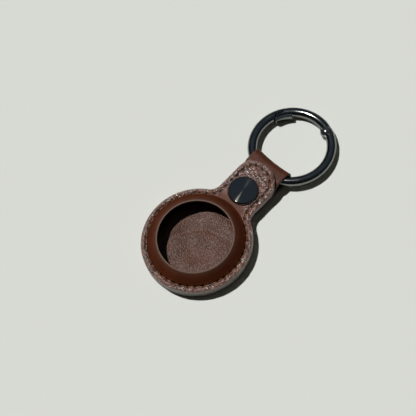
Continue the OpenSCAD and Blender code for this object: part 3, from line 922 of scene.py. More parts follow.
def leather_grain() -> bpy.types.NodeTree:
    """Shared group: pebbles, fine pores and creases of grained leather."""
    tree, fresh = shared_group(
        "leather_grain",
        {"Vector": None, "Pebble size": 0.00045, "Crease size": 0.0022, "Crease depth": 0.5},
        ("Height", "Crevice"),
    )
    if not fresh:
        return tree
    nodes = Nodes(tree)
    start = nodes.add("NodeGroupInput")
    end = nodes.add("NodeGroupOutput")
    pebble = nodes.math("DIVIDE", 1.0, start.outputs["Pebble size"])
    crease = nodes.math("DIVIDE", 1.0, start.outputs["Crease size"])
    stir = nodes.add("ShaderNodeTexNoise", Vector=start.outputs["Vector"], Scale=700.0, Detail=2.0)
    sway = nodes.add("ShaderNodeVectorMath", {"operation": "SCALE"}, _0=stir.outputs["Color"])
    sway.inputs["Scale"].default_value = 0.0009
    bent = nodes.add("ShaderNodeVectorMath", _0=start.outputs["Vector"], _1=sway.outputs[0])
    cells = nodes.add("ShaderNodeTexVoronoi", {"feature": "SMOOTH_F1"}, Vector=bent.outputs[0], Scale=pebble)
    cells.inputs["Smoothness"].default_value = 0.35
    lines = nodes.add(
        "ShaderNodeTexVoronoi", {"feature": "DISTANCE_TO_EDGE"}, Vector=bent.outputs[0], Scale=crease
    )
    pores = nodes.add("ShaderNodeTexNoise", Vector=start.outputs["Vector"], Scale=5200.0, Detail=3.0)
    dome = nodes.spread(cells.outputs["Distance"], 0.05, 0.8, 1.0, 0.0)
    valley = nodes.spread(lines.outputs["Distance"], 0.0, 0.14, 1.0, 0.0)
    deep = nodes.math("MULTIPLY", valley, start.outputs["Crease depth"])
    high = nodes.math("ADD", nodes.math("MULTIPLY", dome, 0.7), nodes.math("MULTIPLY", pores.outputs["Fac"], 0.3))
    nodes.give(end.inputs["Height"], nodes.math("SUBTRACT", high, deep))
    nodes.give(end.inputs["Crevice"], nodes.math("MAXIMUM", valley, nodes.math("SUBTRACT", 1.0, dome)))
    return tree


def patches() -> bpy.types.NodeTree:
    """Shared group: soft uneven patches, for wear and random tone, and on the thread for painted glints."""
    tree, fresh = shared_group("patches", {"Vector": None, "Size": 0.006, "Edge": 0.2}, ("Mask", "Fine"))
    if not fresh:
        return tree
    nodes = Nodes(tree)
    start = nodes.add("NodeGroupInput")
    end = nodes.add("NodeGroupOutput")
    scale = nodes.math("DIVIDE", 1.0, start.outputs["Size"])
    cloud = nodes.add("ShaderNodeTexNoise", Vector=start.outputs["Vector"], Scale=scale, Detail=4.0)
    fine = nodes.add("ShaderNodeTexNoise", Vector=start.outputs["Vector"], Scale=1800.0, Detail=4.0)
    low = nodes.math("SUBTRACT", 0.5, start.outputs["Edge"])
    high = nodes.math("ADD", 0.5, start.outputs["Edge"])
    spread = nodes.add("ShaderNodeMapRange", {"interpolation_type": "SMOOTHSTEP"})
    for number, value in enumerate((cloud.outputs["Fac"], low, high, 0.0, 1.0)):
        nodes.give(spread.inputs[number], value)
    nodes.give(end.inputs["Mask"], spread.outputs[0])
    nodes.give(end.inputs["Fine"], fine.outputs["Fac"])
    return tree


def fresh_material(name: str) -> tuple[bpy.types.Material, Nodes, bpy.types.Node]:
    """Starts a material.

    Args:
        name: Name of the material.

    Returns:
        The material, its nodes and its shader.
    """
    material = bpy.data.materials.new(name)
    material.use_nodes = True
    material.node_tree.nodes.clear()
    nodes = Nodes(material.node_tree)
    shader = nodes.add("ShaderNodeBsdfPrincipled")
    out = nodes.add("ShaderNodeOutputMaterial")
    nodes.give(out.inputs["Surface"], shader.outputs[0])
    return material, nodes, shader


@dataclass(frozen=True)
class Leather:
    """Dyed leather with a waxy sheen.

    Attributes:
        name: Name of the material.
        base: Dye in the open leather.
        deep: Darker colour in the crevices of the grain, also laid over the smooth neck.
        edge: Colour of the cut edges: edge paint, and where greyish, a painted reflection of the floor on the side
            bands.
        pebble: Size of the pebbles in metres.
        bump: Depth of the grain in metres.
        crease: Share of the grain that is creases.
        rough: Roughness of the leather.
        shine: Strength of its reflection.
        rim: Colour of the pale painted highlight along the crest of a fold.
        wax: Strength of the wax on top.
    """

    name: str
    base: Colour
    deep: Colour
    edge: Colour
    pebble: float = 0.00055
    bump: float = 0.00012
    crease: float = 0.6
    rough: float = 0.44
    shine: float = 0.5
    rim: Colour = (0.2, 0.15, 0.12)
    wax: float = 0.0

    def build(self) -> bpy.types.Material:
        """Makes the material."""
        material, nodes, shader = fresh_material(self.name)
        place = nodes.add("ShaderNodeTexCoord").outputs["Object"]
        grain = nodes.add("ShaderNodeGroup", {"node_tree": leather_grain()}, Vector=place)
        grain.inputs["Pebble size"].default_value = self.pebble
        grain.inputs["Crease depth"].default_value = self.crease
        worn = nodes.add("ShaderNodeGroup", {"node_tree": patches()}, Vector=place)
        edge, pit = nodes.mark("edge"), nodes.mark("pit")
        calm = nodes.mark("calm")
        open_share = nodes.math("SUBTRACT", 1.0, nodes.math("MAXIMUM", edge, calm))
        crevice = nodes.math("MULTIPLY", grain.outputs["Crevice"], open_share)
        colour = nodes.blend(crevice, self.base, self.deep)
        lighter = tuple(min(1.0, 1.35 * part) for part in self.base)
        mottle = nodes.math("MULTIPLY", worn.outputs["Mask"], 0.4)
        colour = nodes.blend(mottle, colour, lighter)
        colour = nodes.blend(nodes.math("MULTIPLY", calm, 0.8), colour, self.deep)
        # The edge colour is edge paint, and where greyish also a painted reflection of the floor on the side bands.
        colour = nodes.blend(edge, colour, self.edge)
        # Painted highlight: the mark rim lays a pale colour along the crest of the raised ring.
        colour = nodes.blend(nodes.mark("rim"), colour, self.rim)
        # Painted shade: needle holes and the seam's groove are darkened nearly to black.
        colour = nodes.blend(pit, colour, (0.006, 0.002, 0.001))
        nodes.give(shader.inputs["Base Color"], colour)
        rough = nodes.spread(worn.outputs["Fine"], 0.3, 0.7, self.rough - 0.05, self.rough + 0.07)
        dull = nodes.math("ADD", nodes.math("MULTIPLY", crevice, 0.12), nodes.math("MULTIPLY", pit, 0.4))
        dull = nodes.math("ADD", dull, nodes.math("MULTIPLY", calm, 0.7))
        nodes.give(shader.inputs["Roughness"], nodes.math("ADD", rough, dull))
        shader.inputs["Specular IOR Level"].default_value = self.shine
        if self.wax:
            nodes.give(shader.inputs["Coat Weight"], nodes.spread(calm, 0.0, 0.7, self.wax, 0.0))
        shader.inputs["Coat Roughness"].default_value = 0.2
        height = nodes.math("MULTIPLY", grain.outputs["Height"], nodes.spread(open_share, 0.0, 1.0, 0.12, 1.0))
        bump = nodes.add("ShaderNodeBump", Height=height, Strength=1.0, Distance=self.bump)
        nodes.give(shader.inputs["Normal"], bump.outputs[0])
        nodes.give(shader.inputs["Coat Normal"], bump.outputs[0])
        return material


@dataclass(frozen=True)
class Metal:
    """Plated or turned metal.

    Attributes:
        name: Name of the material.
        base: Colour of the metal.
        rough: Roughness of the metal.
        scratch: Depth of fine unevenness in metres.
    """

    name: str
    base: Colour
    rough: float
    scratch: float = 0.000002

    def build(self) -> bpy.types.Material:
        """Makes the material."""
        material, nodes, shader = fresh_material(self.name)
        place = nodes.add("ShaderNodeTexCoord").outputs["Object"]
        worn = nodes.add("ShaderNodeGroup", {"node_tree": patches()}, Vector=place)
        worn.inputs["Size"].default_value = 0.004
        shader.inputs["Base Color"].default_value = (*self.base, 1.0)
        shader.inputs["Metallic"].default_value = 1.0
        rough = nodes.spread(worn.outputs["Mask"], 0.0, 1.0, self.rough, self.rough + 0.05)
        nodes.give(shader.inputs["Roughness"], rough)
        bump = nodes.add("ShaderNodeBump", Height=worn.outputs["Fine"], Strength=1.0, Distance=self.scratch)
        nodes.give(shader.inputs["Normal"], bump.outputs[0])
        return material


@dataclass(frozen=True)
class TurnedCap:
    """Blue-black metal, turned in fine rings round the snap.

    Attributes:
        name: Name of the material.
        base: Colour of the metal.
        rough: Roughness across the rings.
        pitch: Distance between the rings in metres.
        film: Strength of the film of varnish over the metal.
    """

    name: str
    base: Colour
    rough: float
    pitch: float
    film: float = 0.1

    def build(self, centre: tuple[float, float]) -> bpy.types.Material:
        """Makes the material.

        Args:
            centre: Middle of the cap in metres.

        Returns:
            The material.
        """
        material, nodes, shader = fresh_material(self.name)
        place = nodes.add("ShaderNodeTexCoord").outputs["Object"]
        moved = nodes.add("ShaderNodeMapping", Vector=place, Location=(-centre[0], -centre[1], 0.0))
        flat = nodes.add("ShaderNodeVectorMath", {"operation": "MULTIPLY"}, _0=moved.outputs[0], _1=(1, 1, 0))
        radius = nodes.add("ShaderNodeVectorMath", {"operation": "LENGTH"}, _0=flat.outputs[0]).outputs["Value"]
        rings = nodes.add("ShaderNodeTexNoise", {"noise_dimensions": "1D"}, Detail=4.0)
        nodes.give(rings.inputs["W"], nodes.math("DIVIDE", radius, self.pitch))
        rings.inputs["Scale"].default_value = 1.0
        shader.inputs["Base Color"].default_value = (*self.base, 1.0)
        shader.inputs["Metallic"].default_value = 1.0
        shader.inputs["Anisotropic"].default_value = 1.0
        shader.inputs["Coat Weight"].default_value = self.film
        shader.inputs["Coat Roughness"].default_value = 0.33
        nodes.give(shader.inputs["Roughness"], nodes.spread(rings.outputs["Fac"], 0.3, 0.7, self.rough - 0.03, self.rough + 0.06))
        tangent = nodes.add("ShaderNodeTangent", {"direction_type": "UV_MAP", "uv_map": "turning"})
        nodes.give(shader.inputs["Tangent"], tangent.outputs[0])
        bump = nodes.add("ShaderNodeBump", Height=rings.outputs["Fac"], Strength=1.0, Distance=0.0000025)
        nodes.give(shader.inputs["Normal"], bump.outputs[0])
        return material


@dataclass(frozen=True)
class Thread:
    """Waxed thread.

    Attributes:
        name: Name of the material.
        base: Colour of the thread.
        worn: Orange colour laid in random patches as painted glints on the dark thread.
    """

    name: str
    base: Colour
    worn: Colour

    def build(self) -> bpy.types.Material:
        """Makes the material."""
        material, nodes, shader = fresh_material(self.name)
        place = nodes.add("ShaderNodeTexCoord").outputs["Object"]
        mask = nodes.add("ShaderNodeGroup", {"node_tree": patches()}, Vector=place)
        mask.inputs["Size"].default_value = 0.0012
        # Painted glints: orange patches over the dark thread.
        nodes.give(shader.inputs["Base Color"], nodes.blend(mask.outputs["Mask"], self.base, self.worn))
        nodes.give(shader.inputs["Roughness"], nodes.spread(mask.outputs["Fine"], 0.3, 0.7, 0.4, 0.6))
        shader.inputs["Specular IOR Level"].default_value = 0.25
        return material


# ---------------------------------------------------------------- pieces


def dress(piece: bpy.types.Object, material: bpy.types.Material) -> None:
    """Gives a piece its one material."""
    piece.data.materials.clear()
    piece.data.materials.append(material)


@dataclass
class FrontCover:
    """Front leather with the raised ring and the tab, and its lining."""

    layout: Layout
    seam: Seam
    leather: bpy.types.Material
    ring_leather: bpy.types.Material
    lining: bpy.types.Material
    grid: float = 0.2
    edge_r: float = 0.8
    join_r: float = 19.45
    crest_roll: float = 0.4
    ring_steps: int = 480
    hole_r: float = 16.9
    socket_hole_r: float = 4.7
    cap_r: float = 6.0
    noise: Noise = field(default_factory=lambda: Noise(11))

    def relief(self, x: np.ndarray, y: np.ndarray) -> tuple[np.ndarray, np.ndarray]:
        """Height of seam, puckers and wrinkles over the plain leather.

        Args:
            x: First coordinates.
            y: Second coordinates.

        Returns:
            The heights, and how far each point lies in a needle hole or the groove, which is painted shade.
        """
        layout = self.layout
        made, pit = self.seam.relief(x, y, self.noise, 1.0)
        off = self.seam.locate(x, y)[1]
        outside = 1 - smooth_step(off, -0.6, 0.3)
        calm = 0.6 * hump(y - layout.snap_y + 7.0, 3.5) * (1 - outside)
        made += 0.2 * (self.noise.ridged(x, y, 1.4) - 0.6) * (0.7 - 0.1 * outside - calm)
        made -= 0.22 * smooth_step(-off, 1.0, 2.3)
        beyond = smooth_step(y, layout.snap_y + 4.0, layout.rise_y0 + 0.5) * smooth_step(off, -0.4, 0.8)
        slant = y + 0.28 * x + 1.1 * (self.noise.at(x, y, 3.4) - 0.5)
        folds = sum(
            -depth * hump(slant - layout.rise_y0 - offset, width)
            for offset, depth, width in ((0.1, 0.22, 0.3), (1.4, 0.26, 0.26), (2.9, 0.2, 0.3), (4.6, 0.16, 0.3))
        )
        made += beyond * folds
        made += 0.3 * beyond * (self.noise.ridged(x * 0.7 + y * 0.5, y * 0.9 - x * 0.4, 2.0) - 0.5)
        from_cap = np.hypot(x, y - layout.snap_y) - self.cap_r
        made += 0.42 * hump(from_cap - 0.55, 0.5) + 0.12 * hump(from_cap - 1.5, 0.9)
        return made, pit

    def top(self, x: np.ndarray, y: np.ndarray) -> np.ndarray:
        """Height of the leather's top."""
        return self.layout.tab_top(y) + self.relief(x, y)[0]

    def under(self, x: np.ndarray, y: np.ndarray) -> np.ndarray:
        """Height of the leather's underside."""
        return self.layout.tab_height(y, self.layout.tab_lining_t)

    def pits(self, x: np.ndarray, y: np.ndarray) -> np.ndarray:
        """How far each point lies in a needle hole or the groove, where painted shade goes."""
        return self.relief(x, y)[1]

    def calm(self, x: np.ndarray, y: np.ndarray) -> np.ndarray:
        """How smooth the grain lies at each point, which is most on the neck."""
        off = self.seam.locate(x, y)[1]
        return 0.75 * hump(y - self.layout.snap_y + 7.0, 3.2) * smooth_step(off, 0.3, 1.5)

    def join_loop(self) -> np.ndarray:
        """Line where the flat leather meets the raised ring."""
        return ring_points((0, 0), self.join_r, self.ring_steps)

    def crest_highlight(self, radius: float) -> float:
        """How strong the pale painted highlight is, which is most at the crest."""
        inner = self.layout.foot_r - (self.layout.crest_z - self.layout.front_z) - 0.75
        return float(0.75 * hump(np.array(max(radius - inner - 0.25, 0.0)), 0.36) + 0.17 * hump(np.array(radius - inner), 1.5))

    def slope_rows(self) -> list[tuple[float, float, float, float]]:
        """Profile of the raised ring, from the border over the crest to the underside.

        Returns:
            Radius, height, share of the relief, and the mark rim of the painted crest highlight, for each row.
        """
        layout, roll = self.layout, self.crest_roll
        base, crest = layout.front_z, layout.crest_z
        reach = self.join_r
        inner = layout.foot_r - (crest - base) - 0.75
        middle = inner + roll
        rows = [(reach - 0.12, base + 0.02, 0.85), (reach - 0.25, base + 0.07, 0.6), (reach - 0.4, base + 0.15, 0.3)]
        spine = np.array(
            [
                (reach - 0.6, base + 0.28),
                (reach - 0.9, base + 0.52),
                (reach - 1.4, base + 0.96),
                (reach - 2.0, base + 1.50),
                (reach - 2.6, base + 2.02),
                (reach - 3.2, base + 2.48),
                (middle + 0.55, crest - 0.26),
                (middle + 0.32, crest - 0.12),
            ]
        )
        rows += [(r, z, 0.0) for r, z in smooth_path(spine, 4)]
        made = [(r, z, share, self.crest_highlight(r)) for r, z, share in rows]
        # The mark rim paints a pale highlight along the crest, fading down its inner side.
        for number, (r, z) in enumerate(arc((middle, crest - roll), roll, 62, 180, 12)):
            made.append((r, z, 0.0, self.crest_highlight(r) * float(hump(np.array(max(number - 5.0, 0.0)), 2.4))))
        lip = layout.lip_z
        made += [
            (inner, lip + 0.2, 0.0, 0.0),
            (inner + 0.04, lip + 0.05, 0.0, 0.0),
            (inner + 0.15, lip, 0.0, 0.0),
            (inner + 0.35, lip, 0.0, 0.0),
            (inner + 0.35, lip + 0.4, 0.0, 0.0),
        ]
        hollow = layout.foot_r - layout.moulded_t
        swell = crest - base - layout.moulded_t
        made += [(r, z, 0.0, 0.0) for r, z in arc((hollow - swell, base), swell, 90, 0, 8)]
        return made

    def make_leather(self) -> bpy.types.Object:
        """Makes the flat leather of the border and the tab in one piece, over the crease."""
        layout, outline = self.layout, self.layout.front_outline()
        shell = Shell()
        loops = [outline.loop(self.edge_r), self.join_loop()]
        top, hole = shell.face(loops, self.grid, self.top, pit=self.pits, calm=self.calm)
        rows = [top]
        for lean in (25, 45, 65, 90):
            inset = self.edge_r * (1 - math.sin(math.radians(lean)))
            drop = self.edge_r * (1 - math.cos(math.radians(lean)))
            plan = outline.loop(inset)
            height = self.top(plan[:, 0], plan[:, 1]) - drop
            rows.append(shell.add(np.column_stack([plan, height]), edge=lean / 90))
        for inset, lift in ((0.0, 0.2), (0.05, 0.06), (0.2, 0.0)):
            plan = outline.loop(inset)
            height = self.under(plan[:, 0], plan[:, 1]) + lift
            rows.append(shell.add(np.column_stack([plan, height]), edge=1.0))
        low, low_hole = shell.face([outline.loop(0.2), self.join_loop()], 0.8, self.under)
        shell.strips([*rows, low])
        shell.strip(hole, low_hole)
        piece = shell.build("front_leather")
        dress(piece, self.leather)
        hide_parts("front_panel", "front_tab")
        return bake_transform(piece)

    def make_ring(self) -> bpy.types.Object:
        """Makes the raised ring round the window, which starts where the flat leather ends."""
        shell = Shell()
        plan = self.join_loop()
        x, y = plan[:, 0], plan[:, 1]
        rows = [shell.add(np.column_stack([plan, self.top(x, y)]), pit=self.pits(x, y))]
        turn = plan / self.join_r
        for r, z, share, rim in self.slope_rows():
            x, y = r * turn[:, 0], r * turn[:, 1]
            height = z + 0.04 * (self.noise.at(x, y, 6.0) - 0.5)
            pit = np.zeros_like(x)
            if share:
                lift, pit = self.relief(x, y)
                height = height + share * lift
            rows.append(shell.add(np.column_stack([x, y, height]), rim=rim, pit=share * pit))
        hollow = self.layout.foot_r - self.layout.moulded_t
        for r in (hollow, self.join_r):
            x, y = r * turn[:, 0], r * turn[:, 1]
            rows.append(shell.add(np.column_stack([x, y, self.under(x, y)])))
        shell.strips([*rows, rows[0]])
        piece = shell.build("raised_ring")
        dress(piece, self.ring_leather)
        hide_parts("front_panel")
        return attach(piece, Body.HOLDER.value)

    def make_lining(self) -> bpy.types.Object:
        """Makes the lining under the border and the tab."""
        layout, outline = self.layout, self.layout.front_outline()

        def low(x: np.ndarray, y: np.ndarray) -> np.ndarray:
            """Underside of the lining."""
            share = smooth_step(y, layout.crease_y - 0.5, layout.crease_y + 0.5)
            return layout.welt_z * (1 - share) + layout.tab_height(y, 0.0) * share

        def high(x: np.ndarray, y: np.ndarray) -> np.ndarray:
            """Top of the lining."""
            return layout.tab_height(y, layout.tab_lining_t) - 0.01

        shell = Shell()
        pocket = ring_points((0, 0), self.hole_r, 240)
        socket = ring_points((0, layout.snap_y), self.socket_hole_r, 96)
        upper = shell.face([outline.loop(0.2), pocket, socket], 0.9, high)
        lower = shell.face([outline.loop(0.2), pocket, socket], 0.6, low)
        rows = [upper[0]]
        for inset, share in ((0.08, 0.04), (0.03, 0.16), (0.03, 0.84), (0.08, 0.96)):
            plan = outline.loop(inset)
            a, b = high(plan[:, 0], plan[:, 1]), low(plan[:, 0], plan[:, 1])
            rows.append(shell.add(np.column_stack([plan, a + (b - a) * share]), edge=1.0))
        shell.strips([*rows, lower[0]])
        shell.strip(upper[1], lower[1])
        shell.strip(upper[2], lower[2])
        piece = shell.build("front_and_tab_lining")
        dress(piece, self.lining)
        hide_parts("front_lining", "tab_lining")
        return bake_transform(piece)


@dataclass
class PocketLayers:
    """Welt and padded floor between the front and the back leather."""

    layout: Layout
    floor_leather: bpy.types.Material
    welt_leather: bpy.types.Material
    hole_r: float = 16.9
    dish_r: float = 12.5
    dish_depth: float = 0.4
    floor_grid: float = 0.35
    noise: Noise = field(default_factory=lambda: Noise(23))

    def plate(self, name: str, outline: Outline, low: float, high: Field2, hole: float, spacing: float) -> bpy.types.Object:
        """Makes a flat layer with a softly rounded edge.

        Args:
            name: Name of the piece.
            outline: Outline of the layer.
            low: Height of its underside.
            high: Height of its top.
            hole: Radius of its round hole, or 0.
            spacing: Distance between the points of its top.

        Returns:
            The new object.
        """
        shell = Shell()
        holes = [ring_points((0, 0), hole, 240)] if hole else []
        upper = shell.face([outline.loop(0.14), *holes], spacing, high)
        lower = shell.face([outline.loop(0.14), *holes], 1.2, lambda x, y: np.full_like(x, low))
        rows = [upper[0]]
        edge = outline.loop(0.5)
        top = high(edge[:, 0], edge[:, 1]).max()
        for inset, height in ((0.05, top - 0.03), (0.0, top - 0.12), (0.0, low + 0.12), (0.05, low + 0.03)):
            plan = outline.loop(inset)
            rows.append(shell.add(np.column_stack([plan, np.full(len(plan), height)]), edge=1.0))
        shell.strips([*rows, lower[0]])
        for first, second in zip(upper[1:], lower[1:]):
            shell.strip(first, second)
        return shell.build(name)

    def make_floor(self) -> bpy.types.Object:
        """Makes the floor of the pocket with the dish that tags press into it."""
        layout = self.layout
        outline = Outline(layout.disc_r, layout.fillet_r, layout.strap_half, layout.crease_y, cut=True)

        def high(x: np.ndarray, y: np.ndarray) -> np.ndarray:
            """Top of the floor."""
            r = np.hypot(x, y)
            dish = self.dish_depth * (1 - smooth_step(r, 2.0, self.dish_r + 1.0))
            bent = x + 0.9 * (self.noise.at(x + 9, y, 4.0) - 0.5), y + 0.9 * (self.noise.at(x, y + 9, 4.0) - 0.5)
            fold = -0.34 * hump(np.hypot(bent[0] - 9.0, bent[1] + 10.4) - 19.4, 1.5)
            worn = 0.6 * (self.noise.at(x, y, 5.5) - 0.5) + 0.1 * (self.noise.at(x, y, 2.3) - 0.5) + fold
            return layout.floor_z - dish + worn * (1 - smooth_step(r, 13.5, 15.5))

        piece = self.plate("pocket_floor", outline, layout.back_t, high, 0.0, self.floor_grid)
        dress(piece, self.floor_leather)
        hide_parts("back_lining")
        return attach(piece, Body.HOLDER.value)

    def make_welt(self) -> bpy.types.Object:
        """Makes the welt."""
        layout = self.layout
        outline = Outline(layout.disc_r, layout.fillet_r, layout.neck_half, layout.crease_y, cut=True)
        piece = self.plate(
            "edge_welt", outline, layout.floor_z, lambda x, y: np.full_like(x, layout.welt_z), self.hole_r, 1.2
        )
        dress(piece, self.welt_leather)
        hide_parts("welt")
        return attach(piece, Body.HOLDER.value)


@dataclass
class BackCover:
    """Back leather that goes on as the strap, round the ring and back under the tab."""

    layout: Layout
    seam: Seam
    leather: bpy.types.Material
    grid: float = 0.42
    tunnel_r: float = 2.15
    bar_y: float = 38.85
    fold_y: float = 41.845
    pinch_y: float = 33.8
    end_y: float = 20.6
    bend_r: float = 1.3
    flange_r: float = 4.03
    stud_r: float = 3.63
    sag: float = 0.6
    noise: Noise = field(default_factory=lambda: Noise(41))

    def path(self) -> list[tuple[float, float]]:
        """Lengths and turns of the middle of the sheet, from the disc's bottom.

        Returns:
            Length of each stretch and the angle in radians that it turns through.
        """
        thick = self.layout.back_t
        radius = self.tunnel_r + thick / 2
        lean = 2 * math.atan(self.tunnel_r / (self.bar_y - self.pinch_y))
        shift = thick / 2 * math.tan(lean / 2)
        trim = self.bend_r * math.tan(lean / 2)
        slope = self.bar_y - self.pinch_y + shift - trim
        flat = self.pinch_y - shift - trim - self.end_y
        return [
            (self.fold_y + self.layout.disc_r, 0.0),
            (math.pi * radius, math.pi),
            (self.fold_y - self.bar_y, 0.0),
            (lean * radius, lean),
            (slope, 0.0),
            (lean * self.bend_r, -lean),
            (flat, 0.0),
        ]

    def place(self, points: np.ndarray) -> np.ndarray:
        """Bends flat points along the path.

        Args:
            points: Width, length along the sheet, and height in it.

        Returns:
            The points in the frame.
        """
        along = points[:, 1] + self.layout.disc_r
        over = points[:, 2] - self.layout.back_t / 2
        y, z, heading = -self.layout.disc_r, self.layout.back_t / 2, 0.0
        made = points.copy()
        start = 0.0
        for number, (length, turn) in enumerate(self.path()):
            last = number == len(self.path()) - 1
            here = (along >= start) & ((along < start + length) | last)
            run = along[here] - start
            if turn:
                radius = length / turn
                angle = heading + run / radius
                cy, cz = y - radius * math.sin(heading), z + radius * math.cos(heading)
                made[here, 1] = cy + (radius - over[here]) * np.sin(angle)
                made[here, 2] = cz - (radius - over[here]) * np.cos(angle)
                y, z = cy + radius * math.sin(heading + turn), cz - radius * math.cos(heading + turn)
                heading += turn
            else:
                made[here, 1] = y + run * math.cos(heading) - over[here] * math.sin(heading)
                made[here, 2] = z + run * math.sin(heading) + over[here] * math.cos(heading)
                y, z = y + length * math.cos(heading), z + length * math.sin(heading)
            start += length
        pull = smooth_step(made[:, 1], self.bar_y - 2.0, self.fold_y + 1.5)
        made[:, 1] -= self.sag * pull * (1 - (made[:, 0] / self.layout.strap_half) ** 2)
        return made

    def make(self) -> bpy.types.Object:
        """Makes the sheet."""
        layout = self.layout
        total = sum(length for length, _ in self.path()) - layout.disc_r
        outline = Outline(layout.disc_r, layout.fillet_r, layout.strap_half, total)

        def outer(x: np.ndarray, y: np.ndarray) -> np.ndarray:
            """Grain side, which is the back and the outside of the strap."""
            on_disc = 1 - smooth_step(y, layout.crease_y - 0.8, layout.crease_y + 0.2)
            sewn = self.seam.relief(x, y, self.noise, 0.5)[0]
            off = np.maximum(self.seam.locate(x, y)[1], -0.6)
            calm = smooth_step(off, -3.0, -1.6)
            grain = 0.05 * (self.noise.ridged(x, y, 2.2) - 0.6)
            return np.clip(-(sewn * calm * on_disc + grain), -0.02, 0.5)

        def inner(x: np.ndarray, y: np.ndarray) -> np.ndarray:
            """Flesh side."""
            return np.full_like(x, layout.back_t)

        stud_u = total - (layout.snap_y - self.end_y)
        shell = Shell()
        flange = ring_points((0, layout.snap_y), self.flange_r, 96)
        stud = ring_points((0, stud_u), self.stud_r, 96)
        low = shell.face([outline.loop(0.3), flange, stud], self.grid, outer)
        high = shell.face([outline.loop(0.22)], 0.8, inner)
        rows = [low[0]]
        for inset, height, edge in ((0.12, 0.06, 0.6), (0.02, 0.2, 1.0), (0.0, 0.35, 1.0), (0.0, 0.75, 1.0), (0.06, 0.93, 1.0)):
            plan = outline.loop(inset)
            rows.append(shell.add(np.column_stack([plan, np.full(len(plan), height)]), edge=edge))
        shell.strips([*rows, high[0]])
        for row, centre, radius, depth in (
            (low[1], layout.snap_y, self.flange_r, 0.37),
            (low[2], stud_u, self.stud_r, 0.41),
        ):
            plan = ring_points((0, centre), radius - 0.02, 96)
            floor = shell.add(np.column_stack([plan, np.full(len(plan), depth)]), edge=1.0)
            tip = int(shell.add(np.array([[0.0, centre, depth]]), edge=1.0)[0])
            shell.strip(row, floor)
            shell.fan(floor, tip)
        piece = shell.build("back_leather_and_strap", self.place)
        dress(piece, self.leather)
        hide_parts("back_panel", "ring_strap")
        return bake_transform(piece)


